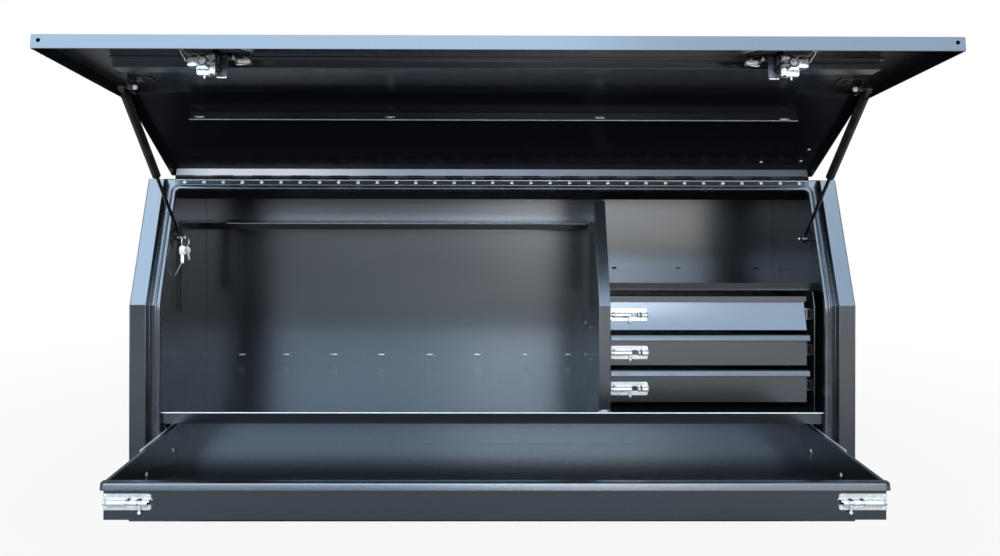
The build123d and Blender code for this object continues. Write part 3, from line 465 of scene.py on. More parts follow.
def easedCopy(node):
    source = nodes[node]
    work = bmesh.new()
    work.from_mesh(source.data)
    bmesh.ops.remove_doubles(work, verts=work.verts, dist=edges["merge"])
    bmesh.ops.dissolve_limit(work, angle_limit=edges["flat"], verts=work.verts, edges=work.edges)
    mesh = bpy.data.meshes.new(node + "_eased")
    work.to_mesh(mesh)
    work.free()
    mesh.materials.append(source.data.materials[0])
    mesh.shade_smooth()
    mesh.set_sharp_from_angle(angle=edges["soft"])
    piece = bpy.data.objects.new(node + "_eased", mesh)
    bpy.context.scene.collection.objects.link(piece)
    ease = piece.modifiers.new("easedEdges", "BEVEL")
    ease.width, ease.segments = edges["width"], edges["segments"]
    ease.limit_method, ease.angle_limit = "ANGLE", edges["sharper"]
    ease.harden_normals, ease.use_clamp_overlap = True, False
    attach(piece, source["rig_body"])
    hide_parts(node)


for node in sheetNodes:
    easedCopy(node)
print("toolbox: sheet metal with eased edges")


# Lathe, slab and sweep: the surfaces that the small pieces are made of

def joined(parts):
    # Several (points, faces) pairs as one
    points, faces, start = [], [], 0
    for partPoints, partFaces in parts:
        partPoints = np.asarray(partPoints, float).reshape(-1, 3)
        points.append(partPoints)
        faces += [[int(i) + start for i in face] for face in partFaces]
        start += len(partPoints)
    return np.concatenate(points), faces


def circle(radius, sides):
    a = np.linspace(0, 2 * pi, sides, endpoint=False)
    return radius * np.stack([np.cos(a), np.sin(a)], -1)


def turned(profile, sides=20):
    # Radius and height pairs carried round +Z: x = r cos a, y = r sin a
    r, h = np.array(profile, float).T
    a = np.linspace(0, 2 * pi, sides, endpoint=False)
    points = np.stack([r[:, None] * np.cos(a), r[:, None] * np.sin(a), np.repeat(h[:, None], sides, 1)], -1)
    return points.reshape(-1, 3), gridFaces(len(r), sides, closeColumns=True).tolist()


def rounded(cornersIn, radius, steps=4):
    # Closed outline with each corner as an arc tangent to its two sides
    line = []
    points = np.array(cornersIn, float)
    radii = np.broadcast_to(radius, len(points))
    for before, here, after, r in zip(np.roll(points, 1, 0), points, np.roll(points, -1, 0), radii):
        a, b = before - here, after - here
        a, b = a / np.hypot(*a), b / np.hypot(*b)
        half = np.arccos(np.clip(a @ b, -1, 1)) / 2
        middle = (a + b) / np.hypot(*(a + b))
        centre = here + middle * r / sin(half)
        start, end = here + a * r / tan(half) - centre, here + b * r / tan(half) - centre
        first = atan2(start[1], start[0])
        sweep = (atan2(end[1], end[0]) - first + pi) % (2 * pi) - pi
        angle = first + sweep * np.linspace(0, 1, steps + 1)
        line.append(centre + r * np.stack([np.cos(angle), np.sin(angle)], -1))
    return np.concatenate(line)


def outwards(outline):
    # Unit normals of a closed outline that runs anticlockwise
    along = np.roll(outline, -1, 0) - np.roll(outline, 1, 0)
    normal = np.stack([along[:, 1], -along[:, 0]], -1)
    return normal / np.maximum(np.hypot(*normal.T), 1e-9)[:, None]


def slab(outline, low, high, ease):
    # Outline carried from low to high, drawn in by ease at both ends in a quarter round
    quarter = np.linspace(0, pi / 2, 4)
    inset = np.concatenate([ease * (1 - np.sin(quarter)), ease * (1 - np.cos(quarter))])
    level = np.concatenate([low + ease * (1 - np.cos(quarter)), high - ease * (1 - np.sin(quarter))])
    rows = outline[None] - inset[:, None, None] * outwards(outline)[None]
    points = np.concatenate([rows, np.broadcast_to(level[:, None, None], rows.shape[:2] + (1,))], -1)
    count = len(outline)
    faces = gridFaces(len(level), count, closeColumns=True).tolist()
    faces += [list(range(count)), [(len(level) - 1) * count + i for i in range(count)]]
    return points.reshape(-1, 3), faces


def placed(shape, origin, across, up):
    # Local x, y, z set along across, up and their cross product
    points, faces = shape
    u, v = np.array(across, float), np.array(up, float)
    axes = np.stack([u, v, np.cross(u, v)])
    return points @ axes + np.array(origin, float), faces


def aimed(shape, origin, way, across=(0, 1, 0)):
    # Local z set along way
    return placed(shape, origin, across, np.cross(way, across))


def flattened(shape, scale):
    points, faces = shape
    return points * np.array(scale), faces


def many(shape, places):
    # The same shape at each place
    points, faces = shape
    places = np.asarray(places, float)
    copies = (points[None] + places[:, None]).reshape(-1, 3)
    return copies, [[i + k * len(points) for i in face] for k in range(len(places)) for face in faces]


def swept(outline, origins, acrossAxes, upAxes, closed=False):
    # A closed outline of (u, v), or one for each station, carried along stations that have their own two axes
    outline = outline if outline.ndim == 3 else outline[None]
    points = origins[:, None] + outline[..., :1] * acrossAxes[:, None] + outline[..., 1:] * upAxes[:, None]
    stations, count = points.shape[:2]
    faces = gridFaces(stations, count, closeRows=closed, closeColumns=True).tolist()
    if not closed:
        faces += [list(range(count)), [(stations - 1) * count + i for i in range(count)]]
    return points.reshape(-1, 3), faces


def alongX(outline, x, y, z):
    # A sweep along X, with the outline's u to the back and its v up
    origins = np.stack([x, np.full(len(x), y), z + np.zeros(len(x))], -1)
    return swept(outline, origins, np.tile([0.0, 1, 0], (len(x), 1)), np.tile([0.0, 0, 1], (len(x), 1)))


def wireAlong(path, up, radius, sides):
    # A round wire on a bent path that stays square to up
    along = np.gradient(path, axis=0)
    along /= np.linalg.norm(along, axis=1)[:, None]
    ups = np.tile(np.array(up, float), (len(path), 1))
    return swept(circle(radius, sides), path, np.cross(ups, along), ups)


def nodePoints(node):
    mesh = nodes[node].data
    points = np.empty(len(mesh.vertices) * 3)
    mesh.vertices.foreach_get("co", points)
    return points.reshape(-1, 3)


def finishPiece(name, shape, finish, body, *stoodFor, sharp=32, slot=None):
    # The finish is the name of a slot, or a material; the slot argument is not used
    named = isinstance(finish, str)
    piece = newPiece(name, *shape, finishes[finish] if named else finish, sharp)
    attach(piece, body)
    if stoodFor:
        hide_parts(*stoodFor)


# The bent front: a distance up the sheet and an inset become a place, bending at the crease

hinge = Vector(joints["lid_hinge"]["pos_m"])
lidTurn = radians(-97)
frontBox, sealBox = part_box("right_side_panel"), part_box("door_seal")
front = {"y": frontBox[0].y, "crease": 0.506, "run": 0.124, "top": frontBox[1].z}
front["slant"] = atan2(front["run"], front["top"] - front["crease"])


def onFront(along, inset):
    # Below the crease the sheet is upright; above it, it leans back by the slant
    lean = front["slant"]
    turn = front["crease"] - inset * tan(lean / 2)
    over = np.maximum(along - front["crease"], 0)
    slanted = along > front["crease"]
    y = np.where(slanted, front["y"] + over * sin(lean) + inset * cos(lean), front["y"] + inset)
    z = np.where(slanted, front["crease"] + over * cos(lean) - inset * sin(lean), np.minimum(along, turn))
    return y, z


def lidOpen(points):
    # From the shut lid, in which its pieces are laid out, to the open one
    p = np.asarray(points, float)
    y, z = p[..., 1] - hinge.y, p[..., 2] - hinge.z
    return np.stack([p[..., 0], hinge.y + y * cos(lidTurn) - z * sin(lidTurn),
                     hinge.z + y * sin(lidTurn) + z * cos(lidTurn)], -1)


seal = {"half": 0.783, "low": 0.085, "below": 0.006, "legIn": 0.0045, "legOut": 0.0052, "foot": 0.0004,
        "reach": 0.0145, "round": 0.0022, "bulb": 0.0062, "bulbSides": 15, "bulbShape": (0.62, 0.9),
        "bulbAt": (0.0070, 0.0058), "corner": 0.014, "cornerSteps": 10, "sideSteps": 40, "longSide": 0.05}


def makeSeal():
    # A clip-on edge seal with a hollow bulb outside it: u points away from the opening and v inwards
    s = seal
    top = front["crease"] + (sealBox[1].z - front["crease"]) / cos(front["slant"]) - s["below"]
    corner = rounded([(-s["half"], s["low"]), (s["half"], s["low"]), (s["half"], top), (-s["half"], top)],
                     s["corner"], s["cornerSteps"])
    path = []
    for here, there in zip(corner, np.roll(corner, -1, 0)):
        steps = s["sideSteps"] if np.hypot(*(there - here)) > s["longSide"] else 1
        path.append(here + (there - here) * np.linspace(0, 1, steps, endpoint=False)[:, None])
    path = np.concatenate(path)
    normal = outwards(path)
    inner, outer, foot, end = -s["legIn"], s["legOut"], s["foot"], s["reach"]
    clip = rounded([(inner, foot), (outer, foot), (outer, end), (inner, end)], s["round"], 3)
    bulb = circle(s["bulb"], s["bulbSides"]) * s["bulbShape"] + s["bulbAt"]
    shapes = []
    for outline in (clip, bulb):
        flat = path[:, None] + outline[None, :, :1] * normal[:, None]
        y, z = onFront(flat[..., 1], np.broadcast_to(outline[None, :, 1], flat.shape[:2]))
        points = np.stack([flat[..., 0], y, z], -1)
        shapes.append((points.reshape(-1, 3), gridFaces(len(path), len(outline), True, True).tolist()))
    finishPiece("doorSealBulb", joined(shapes), "seal_rubber", "root", "door_seal", sharp=60)


rivets = {"radius": 0.0047, "height": 0.0027, "rings": 5, "sides": 14, "count": 33, "end": 0.0032,
          "sink": 0.0008}


def makeHingeRivets():
    # Domed heads: r = R cos a, h = H sin a, in a row along the body leaf
    r = rivets
    low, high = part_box("hinge_rivets")
    a = np.linspace(0, pi / 2, r["rings"])
    dome = turned(np.stack([r["radius"] * np.cos(a), r["height"] * np.sin(a)], -1), r["sides"])
    outward = np.array([0, -cos(front["slant"]), sin(front["slant"])])
    head = aimed(dome, (0, 0, 0), outward, (1, 0, 0))
    base = np.array([0, (low.y + high.y) / 2, (low.z + high.z) / 2]) - outward * r["sink"]
    row = np.linspace(low.x + r["end"], high.x - r["end"], r["count"])
    heads = many(head, [base + np.array([x, 0, 0]) for x in row])
    # The near-white heads carry a painted highlight
    finishPiece("hingeRivetHeads", heads, palePlatePaintedHighlight, "root", "hinge_rivets", sharp=50, slot="zinc")


folds = {"wire": 0.0012, "sides": 10, "inset": 0.0006, "left": -0.78, "right": 0.78, "upperEnd": 0.765,
         "upperLift": 0.0035, "looseStart": -0.735, "wave": 0.0004, "pitch": 0.0235, "waveSteps": 400,
         "hingeEnd": 0.002, "hingeIn": 0.0068, "hingeDown": 0.0118, "tipDepth": 0.0008, "tipEnd": 0.001,
         "tipIn": 0.0004, "tipSides": 8}


def makeFoldLines():
    # Rounded outer bends of the shelves' front edges; the pale bead of the mid shelf and the nickel bead of
    # the loose shelf are painted highlights
    f = folds
    shelf, upper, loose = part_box("mid_shelf"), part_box("upper_shelf"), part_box("adjustable_shelf")
    k, section = f["inset"], circle(f["wire"], f["sides"])
    lines = {"shelfFold": (f["left"], f["right"], shelf[0].y + k, shelf[1].z - k, palePlatePaintedHighlight),
             "upperShelfFold": (upper[0].x, f["upperEnd"], upper[0].y + k, upper[0].z + f["upperLift"],
                                "powder_coat"),
             "looseShelfFold": (f["looseStart"], loose[1].x, loose[0].y + k, loose[1].z - k, nickelAndPaintedHighlight)}
    for name, (start, end, y, z, finish) in lines.items():
        bead = alongX(section, np.linspace(start, end, 3), y, z)
        finishPiece(name, bead, finish, "root", sharp=60, slot="powder_coat")
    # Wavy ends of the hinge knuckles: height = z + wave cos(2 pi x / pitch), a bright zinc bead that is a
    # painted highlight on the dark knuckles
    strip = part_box("hinge_body_leaf")
    x = np.linspace(strip[0].x + f["hingeEnd"], strip[1].x - f["hingeEnd"], f["waveSteps"])
    z = strip[1].z - f["hingeDown"] + f["wave"] * np.cos(2 * pi * x / f["pitch"])
    finishPiece("hingeFold", alongX(section, x, strip[0].y + f["hingeIn"], z), "zinc", "root", sharp=60)


def makeStiffenerEdge():
    # A bright bead on the tip of the angle across the inner slant: a painted highlight along its edge
    f, points = folds, nodePoints("lid_rear_stiffener")
    tip = points[points[:, 1] < points[:, 1].min() + f["tipDepth"]]
    x = np.linspace(tip[:, 0].min() + f["tipEnd"], tip[:, 0].max() - f["tipEnd"], 3)
    bead = alongX(circle(f["wire"], f["tipSides"]), x, tip[:, 1].mean() + f["tipIn"], tip[:, 2].mean())
    finishPiece("stiffenerEdge", bead, nickelAndPaintedHighlight, "lid", sharp=60, slot="powder_coat")


makeSeal()
makeHingeRivets()
makeFoldLines()
makeStiffenerEdge()
print("toolbox: seal, hinge rivets and folds")


# Barrel bolts: a pressed plate, a round bolt and its knob

def boltLine(node):
    # Middle of the bolt's end, on its centre line
    points = nodePoints(node)
    tip = points[points[:, 0] < points[:, 0].min() + 1e-5]
    return (tip.min(0) + tip.max(0)) / 2


def outFrom(node):
    # The way that a plate faces: the sum of its front faces' normals, square to X
    mesh = nodes[node].data
    normals, areas = np.empty(len(mesh.polygons) * 3), np.empty(len(mesh.polygons))
    mesh.polygons.foreach_get("normal", normals)
    mesh.polygons.foreach_get("area", areas)
    normals = normals.reshape(-1, 3)
    ahead = normals[:, 1] < -0.5
    total = (normals[ahead] * areas[ahead, None]).sum(0) * np.array([0, 1, 1])
    return total / np.hypot(*total[1:])


boltPlate = {"half": 0.016, "level": 0.0015, "axis": 0.0065, "barrel": 0.0062, "wall": 0.00135,
             "corner": 0.0045, "tab": 0.0025, "tabHalf": 0.0064, "cap": 0.0045, "step": 2e-5, "rod": 0.004,
             "neck": 0.0026, "knob": 0.0038, "rows": [0.0078, 0.010, 0.0125, 0.014, 0.0152]}
# Sleeves are spans along the plate; holes are spans along it and then across it
boltKinds = {"small": {"length": 0.090, "rodEnd": 0.0512, "knob": 0.047, "drop": 0.0166,
                       "sleeves": [(0.006, 0.0506), (0.066, 0.072), (0.0755, 0.0925)],
                       "holes": [(0.0522, 0.0648, -0.0056, 0.0056), (0.0725, 0.075, -0.0078, 0.0078),
                                 (0.0078, 0.0104, 0.0055, 0.0076), (0.0078, 0.0104, -0.0076, -0.0055),
                                 (0.0314, 0.0506, -0.0064, -0.0028)]},
             "big": {"length": 0.0935, "rodEnd": 0.083, "knob": 0.072, "drop": 0.0196,
                     "sleeves": [(0.006, 0.047), (0.0545, 0.068), (0.0765, 0.0925)],
                     "holes": [(0.0475, 0.054, 0.0012, 0.0064), (0.0685, 0.076, 0.0012, 0.0064),
                               (0.0484, 0.0756, -0.0078, -0.0036), (0.001, 0.005, -0.0055, -0.0035),
                               (0.0885, 0.096, -0.0062, 0.0030)]}}


def pressedPlate(kind):
    # Height over the face: a flat rim, and over each sleeve axis + sqrt(r2 - w2), round at the free end.
    # The free end is scalloped: the length grows at the middle tab and falls off round the corners.
    b, k = boltPlate, boltKinds[kind]
    step = b["step"]
    breaks = [u for pair in k["sleeves"] for end in pair for u in (end - step, end + step)]
    cuts = [u for hole in k["holes"] for u in hole[:2]]
    end = k["length"] + b["tab"]
    u = np.unique(np.round(np.concatenate([[0, 0.003], breaks, cuts, np.linspace(0.012, 0.088, 20),
                                           end - b["cap"] * (1 - np.sin(np.linspace(0, pi / 2, 6)))]), 6))
    u = u[u <= end]
    curve = b["barrel"] * np.sin(np.linspace(0, pi / 2, 8))
    rows = [w for hole in k["holes"] for w in np.abs(hole[2:])]
    half = np.concatenate([curve, [b["barrel"] + step], b["rows"], [b["half"]], rows])
    half = np.unique(np.round(half[half <= b["half"]], 6))
    w = np.concatenate([-half[:0:-1], half])
    along, across = np.meshgrid(u, w, indexing="ij")
    inSleeve = np.zeros_like(along, bool)
    for low, high in k["sleeves"]:
        inSleeve |= (along > low) & (along < high)
    crown = b["axis"] + np.sqrt(np.maximum(b["barrel"] ** 2 - across ** 2, 0))
    fall = np.sqrt(np.clip(1 - ((along - end + b["cap"]) / b["cap"]).clip(0) ** 2, 0, 1))
    inBarrel = inSleeve & (np.abs(across) <= b["barrel"])
    height = np.where(inBarrel, b["level"] + (crown - b["level"]) * fall, b["level"])
    edge = (np.abs(across) - b["half"] + b["corner"]).clip(0)
    tab = np.where(np.abs(across) < b["tabHalf"], b["tab"], 0)
    place = np.minimum(along, k["length"] + tab - b["corner"] + np.sqrt(b["corner"] ** 2 - edge ** 2))
    centre = [(grid[:-1, :-1] + grid[1:, 1:]) / 2 for grid in (along, across)]
    keep = place[1:, :-1] - place[:-1, :-1] + place[1:, 1:] - place[:-1, 1:] > 1e-7
    narrow = (along[1:, :-1] - along[:-1, :-1] < 3 * step) & (np.abs(centre[1]) < b["barrel"] + step)
    keep &= ~narrow
    for a0, a1, w0, w1 in k["holes"]:
        keep &= ~((centre[0] > a0) & (centre[0] < a1) & (centre[1] > w0) & (centre[1] < w1))
    faces = gridFaces(*along.shape)[keep.ravel()]
    return np.stack([place, across, height], -1).reshape(-1, 3), faces


def onPlate(shape, base, turn, out):
    # The plate's own u, w, h set along X (towards the middle of the drawer), up the face, and out of it
    points, faces = shape
    up = np.cross(out, (1, 0, 0))
    axes = np.stack([np.array([turn, 0, 0]), up, out])
    return points @ axes + base, faces


def makeBolt(plateNode, boltNode, kind, turn, plateBody, boltBody):
    b, k = boltPlate, boltKinds[kind]
    out = outFrom(plateNode)
    low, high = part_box(plateNode)
    wallEnd = low.x if turn > 0 else high.x
    axis = boltLine(boltNode)
    base = np.array([wallEnd, axis[1], axis[2]]) - out * b["axis"]
    name = boltNode.replace("_bolt", "").replace("_big", "Big")
    points, faces = onPlate(pressedPlate(kind), base, turn, out)
    sheet = newPiece(name + "BoltPlate", points, faces, finishes["zinc"], sharp=38, facing=out)
    wall = sheet.modifiers.new("wall", "SOLIDIFY")
    wall.thickness, wall.offset, wall.use_even_offset = b["wall"], -1, False
    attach(sheet, plateBody)
    screw = turned([(0.0024, 0), (0.0023, 0.0004), (0.0015, 0.0008), (0.0005, 0.0009), (0, 0.0009)], 12)
    at = [(u, w, b["level"]) for u in (0.0045, k["length"] - 0.006) for w in (-0.0115, 0.0115)]
    heads = onPlate(many(screw, at), base, turn, out)
    finishPiece(name + "BoltScrews", heads, "zinc", plateBody)
    end = k["rodEnd"]
    rod = turned([(0, 0.0005), (b["rod"] - 0.0008, 0.0005), (b["rod"], 0.0013), (b["rod"], end - 0.001),
                  (b["rod"] - 0.001, end), (0, end)], 20)
    rod = placed(rod, (0, 0, b["axis"]), (0, 1, 0), (0, 0, 1))
    r, drop = b["knob"], k["drop"]
    ball = [(r * cos(a), -drop + r * sin(a)) for a in np.linspace(-pi / 2, 0.87, 9)]
    knob = turned([(0, -drop - r)] + ball[1:] + [(b["neck"], -drop + 0.0042), (b["neck"], 0), (0, 0)], 18)
    knob = placed(knob, (k["knob"], 0, b["axis"]), (0, 0, 1), (1, 0, 0))
    finishPiece(name + "BoltRod", onPlate(joined([rod, knob]), base, turn, out), "zinc", boltBody, boltNode,
                sharp=40)
    return sheet


for side, turn in (("left", 1), ("right", -1)):
    sheet = makeBolt("big_bolt_plates", side + "_big_bolt", "big", turn, "big_drawer",
                     side + "_big_bolt_body")
    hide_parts("big_bolt_plates")
for drawer in ("lower", "middle", "upper"):
    sheet = makeBolt(drawer + "_bolt_plate", drawer + "_bolt", "small", 1, drawer + "_drawer",
                     drawer + "_bolt_body")
    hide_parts(drawer + "_bolt_plate")
print("toolbox: barrel bolts")


# Lips of the drawers: a rolled nose along the big drawer, ribbed trims along two small ones

trim = {"slope": 0.0046, "drop": 0.0136, "proud": 0.0005, "nose": 0.0016, "rib": 0.0004, "pitch": 0.0052,
        "perRib": 6, "end": 0.0004}
nose = {"radius": 0.0048, "lean": 0.215, "drop": 0.0142, "proud": 0.0006, "under": 0.004, "taper": 0.010,
        "shrink": 0.0035}


def makeLipTrim(drawer):
    # The section leans back so that it faces up a little; its ribs move the front edge in and out as a cosine
    low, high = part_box(drawer + "_drawer_tray")
    c = trim
    proud, drop, tight = c["proud"], c["drop"], 0.0005
    outline = rounded([(0.0150, proud - 0.0020), (0.0150, proud), (-proud, proud),
                       (-proud - c["slope"], -drop), (0.0015, -drop), (0.0003, -drop + 0.0012)],
                      [tight, tight, c["nose"], c["nose"], tight, tight], 3)
    count = int((high.x - low.x) / c["pitch"]) * c["perRib"]
    x = np.linspace(low.x - c["end"], high.x + c["end"], count)
    phase = np.arange(count) / c["perRib"] * 2 * pi
    middle = np.clip(1 - ((outline[:, 1] + drop * 0.55) / (drop * 0.30)) ** 2, 0, 1)
    ahead = outline[:, 0] < 0.0002
    line = np.repeat(outline[None], count, 0)
    line[..., 0] += (middle * ahead)[None] * c["rib"] * (1 - np.cos(phase))[:, None]
    finishPiece(drawer + "LipTrim", alongX(line, x, low.y, high.z), plainFinish("edgeTrim"),
                drawer + "_drawer", sharp=40)


def makeBigLip():
    # An arc between the flat top and a front that leans back, so that it faces up a little; the ends taper in
    low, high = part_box("big_drawer_front")
    c = nose
    arc = np.linspace(0, pi / 2 - c["lean"], 9)
    r = c["radius"]
    roll = np.stack([-c["proud"] + r * 0.7 - r * np.sin(arc), c["proud"] - r + r * np.cos(arc)], -1)
    foot = roll[-1, 0] - (roll[-1, 1] + c["drop"]) * tan(c["lean"])
    under = np.array([[foot + 0.0002, -c["drop"] + 0.001], [foot + 0.001, -c["drop"]],
                      [c["under"], -c["drop"]], [c["under"], -c["drop"] + 0.0025],
                      [0.0026, -c["drop"] + 0.003], [0.0026, -0.0062], [0.0160, -0.0022],
                      [0.0160, c["proud"]]])
    outline = np.concatenate([roll, under])
    half = high.x + 0.0006
    x = np.concatenate([-half + c["taper"] * (1 - np.cos(np.linspace(0, pi / 2, 8))),
                        np.linspace(-0.74, 0.74, 3)])
    x = np.unique(np.concatenate([x, -x[:8]]))
    inward = np.clip(1 - (half - np.abs(x)) / c["taper"], 0, 1) ** 2 * c["shrink"]
    line = np.repeat(outline[None], len(x), 0)
    line[..., 0] += np.where(outline[:, 0] < 0.004, 1, 0)[None] * inward[:, None] * 0.6
    line[..., 1] -= np.where(outline[:, 1] > -0.004, 1, 0)[None] * inward[:, None] * 0.15
    finishPiece("bigDrawerLip", alongX(line, x, low.y, high.z), "powder_coat", "big_drawer", sharp=40)


for drawer in ("lower", "middle"):
    makeLipTrim(drawer)
makeBigLip()
print("toolbox: drawer lips")


# Latches: what shows of each one inside the open lid, laid out as on the shut lid

latch = {"x": joints["left_latch_cam_turn"]["pos_m"][0], "z": 0.146, "skin": 0.003}
dish = {"out": 0.062, "in": 0.060, "half": 0.036, "tip": 0.010, "deep": 0.0125, "rim": 0.0019, "wall": 0.0011,
        "rows": 41, "columns": 21}
# Blocks run from u to u, v to v and w to w, then corner radius and easing; pins have a radius, two places and
# two ends, along v or along w
casting = {"blocks": [(0.0300, 0.0516, -0.0125, 0.010, 0.0172, 0.0330),
                      (0.0020, 0.0345, -0.0135, 0.0115, 0.0140, 0.0470, 0.0045),
                      (0.0090, 0.0330, -0.0153, 0, 0.0380, 0.0499),
                      (-0.0165, 0.0010, -0.0015, 0.0050, 0.0500, 0.0521, 0.0008, 0.0004)],
           "pinsV": [(0.0068, 0.0235, 0.0237, -0.0181, 0), (0.0032, 0.0235, 0.0237, -0.0195, -0.0165),
                     (0.0027, 0.0010, 0.0300, -0.0195, -0.0035), (0.0030, -0.030, 0.0175, -0.012, 0.012)],
           "pinsW": [(0.0022, 0.0200, -0.0095, 0.044, 0.0559), (0.0030, 0.0125, -0.0075, 0.044, 0.0510),
                     (0.0021, 0.0010, -0.0175, 0.030, 0.0503)]}
lever = {"slope": radians(-42), "pivot": (0.0235, 0.0240), "span": (-0.0175, -0.0141), "ease": 0.0006,
         "outline": [(-0.004, -0.0026), (0.0175, -0.0026), (0.0175, 0.0026), (-0.004, 0.0026)],
         "round": 0.0022,
         "blocks": [(-0.0173, 0.0010, 0.0020, 0.0045, 0.0150, 0.0505, 0.004, 0.0004),
                    (-0.0155, -0.0035, 0.0045, 0.0105, 0.0425, 0.0465, 0.0015, 0.0004)],
         "pinsV": [(0.0088, 0.0235, 0.0237, -0.0159, 0)], "pinsW": []}


def onLatch(shape, side):
    # u runs outwards from the latch's middle, v up the shut lid, w into the box; then the lid is opened
    points, faces = shape
    x = latch["x"] - points[:, 0]
    laid = np.stack([x, front["y"] + points[:, 2], latch["z"] + points[:, 1]], -1)
    opened = lidOpen(laid)
    return (opened * np.array([-1, 1, 1]), faces) if side == "right" else (opened, faces)


def dishShell():
    # Boat-shaped bowl: its half width falls off to the inner tip, its depth is ((1 - |a|^5) (1 - t^4))^0.45
    along = np.linspace(-1, 1, dish["rows"])
    u = np.where(along < 0, along * dish["in"], along * dish["out"])
    blunt = np.where(along < 0, (1 - np.abs(along) ** 2.2), (1 - np.abs(along) ** 6) ** 0.5)
    half = dish["tip"] * (1 - along ** 8) + (dish["half"] - dish["tip"]) * blunt
    t = np.sin(np.linspace(-pi / 2, pi / 2, dish["columns"]))
    spread = np.clip(1 - np.abs(along[:, None]) ** 5, 0, 1) * (1 - t[None] ** 4)
    w = latch["skin"] + dish["deep"] * spread ** 0.45
    points = np.stack([np.repeat(u[:, None], dish["columns"], 1), half[:, None] * t[None], w], -1)
    return points.reshape(-1, 3), gridFaces(dish["rows"], dish["columns"]).tolist()


def roundDish(section):
    # A section carried round the edge of the bowl, its first axis away from the bowl's middle
    shell = dishShell()[0].reshape(dish["rows"], dish["columns"], 3)
    edge = np.concatenate([shell[:, 0], shell[-1, 1:-1], shell[::-1, -1], shell[0, -2:0:-1]])
    step = np.hypot(*(np.roll(edge, -1, 0) - edge)[:, :2].T)
    edge = edge[step > 4e-4]
    across = np.concatenate([outwards(edge[:, :2]), np.zeros((len(edge), 1))], -1)
    return swept(section, edge, across, np.tile([0.0, 0, 1], (len(edge), 1)), closed=True)


def dishRim():
    # A bright bead round the edge of the bowl
    return roundDish(circle(dish["rim"], 8) * (1, 0.8) + (0, 0.0008))


def dishFlange():
    # The flat ring on the outside of the lid, joined to the bowl by a wall through the sheet
    low, top = -latch["skin"] - 0.0010, -latch["skin"] + 0.0002
    return roundDish(np.array([(-0.0012, low), (0.0050, low), (0.0055, top), (0.0002, top), (0.0002, 0.0004),
                               (-0.0012, 0.0004)]))


def easedPin(radius, low, high, sides=16):
    # Round pin with eased ends, which barV lays along v and barW along w
    ease = min(radius * 0.3, 0.0008)
    return turned([(0, low), (radius - ease, low), (radius, low + ease), (radius, high - ease),
                   (radius - ease, high), (0, high)], sides)


def barV(radius, u, w, low, high):
    return placed(easedPin(radius, low, high), (u, 0, w), (0, 0, 1), (1, 0, 0))


def barW(radius, u, v, low, high, sides=16):
    return placed(easedPin(radius, low, high, sides), (u, v, 0), (1, 0, 0), (0, 1, 0))


def cast(u0, u1, v0, v1, w0, w1, radius=0.003, ease=0.001):
    # Rounded block: an outline in u and w carried along v
    outline = rounded([(u0, w0), (u1, w0), (u1, w1), (u0, w1)], radius, 4)
    points, faces = slab(outline, v0, v1, ease)
    return points[:, [0, 2, 1]], faces


def blocksAndPins(c):
    return [cast(*b) for b in c["blocks"]] + [barV(*p) for p in c["pinsV"]] + [barW(*p) for p in c["pinsW"]]


def makeLatch(side):
    shell = newPiece(side + "LatchDish", *onLatch(dishShell(), side), special["latch_housings"],
                     facing=(0, -0.2, -1))
    wall = shell.modifiers.new("wall", "SOLIDIFY")
    wall.thickness, wall.offset, wall.use_even_offset = dish["wall"], -1, False
    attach(shell, "lid")
    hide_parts("latch_housings")
    finishPiece(side + "LatchFlange", onLatch(dishFlange(), side), "latch_cast", "lid")
    finishPiece(side + "LatchRim", onLatch(dishRim(), side), "latch_cast", "lid")
    body = onLatch(joined(blocksAndPins(casting)), side)
    finishPiece(side + "LatchCasting", body, "latch_cast", "lid", sharp=35)
    # The dark lever that leads down from the pin head
    c, slope = lever, lever["slope"]
    turn = np.array([[-cos(slope), -sin(slope)], [-sin(slope), cos(slope)]])
    bar = rounded(c["outline"], c["round"], 4) @ turn.T + np.array(c["pivot"])
    points, faces = slab(bar, *c["span"], c["ease"])
    arm = onLatch(joined([(points[:, [0, 2, 1]], faces)] + blocksAndPins(c)), side)
    finishPiece(side + "LatchLever", arm, "hinge_steel", "lid", sharp=35)


wings = {"wire": 0.0012, "sides": 10, "wedge": (-0.0595, -0.0367, -0.0065, 0.0065, 0.0180, 0.0265),
         "paths": [[(0.0655, 0.0030, -0.012), (0.0640, 0.0085, -0.010), (0.0596, 0.0150, -0.008),
                    (0.0556, 0.0229, -0.006)],
                   [(-0.0245, 0.0045, 0), (-0.0440, 0.0120, 0), (-0.0593, 0.0216, 0), (-0.0500, 0.0262, 0),
                    (-0.0399, 0.0280, 0), (-0.0330, 0.0262, 0)]]}


def makeWings(side):
    # Bright turned edges at both ends of the dish, on paths of (u, w, v), and the wedge at its inner end
    shapes = [wireAlong(np.array(path)[:, [0, 2, 1]], (0, 1, 0), wings["wire"], wings["sides"])
              for path in wings["paths"]]
    finishPiece(side + "LatchWings", onLatch(joined(shapes), side), "latch_cast", "lid", sharp=50)
    finishPiece(side + "LatchWedge", onLatch(cast(*wings["wedge"]), side), nickelAndPaintedHighlight, "lid", sharp=35,
                slot="latch_cast")


cam = {"tongue": [(0.0078, 0.0078), (-0.0078, 0.0078), (-0.0062, -0.0475), (0.0062, -0.0475)],
       "corners": [0.0072, 0.0072, 0.0045, 0.0045], "tongueSpan": (0.0302, 0.0348, 0.0007),
       "nut": 0.0066, "nutCorner": 0.0006, "nutSpan": (0.0347, 0.0386, 0.0005),
       "spindle": (0.0058, 0, 0, 0.0145, 0.0305, 20), "stud": (0.0030, 0, 0, 0.0380, 0.0412, 14)}


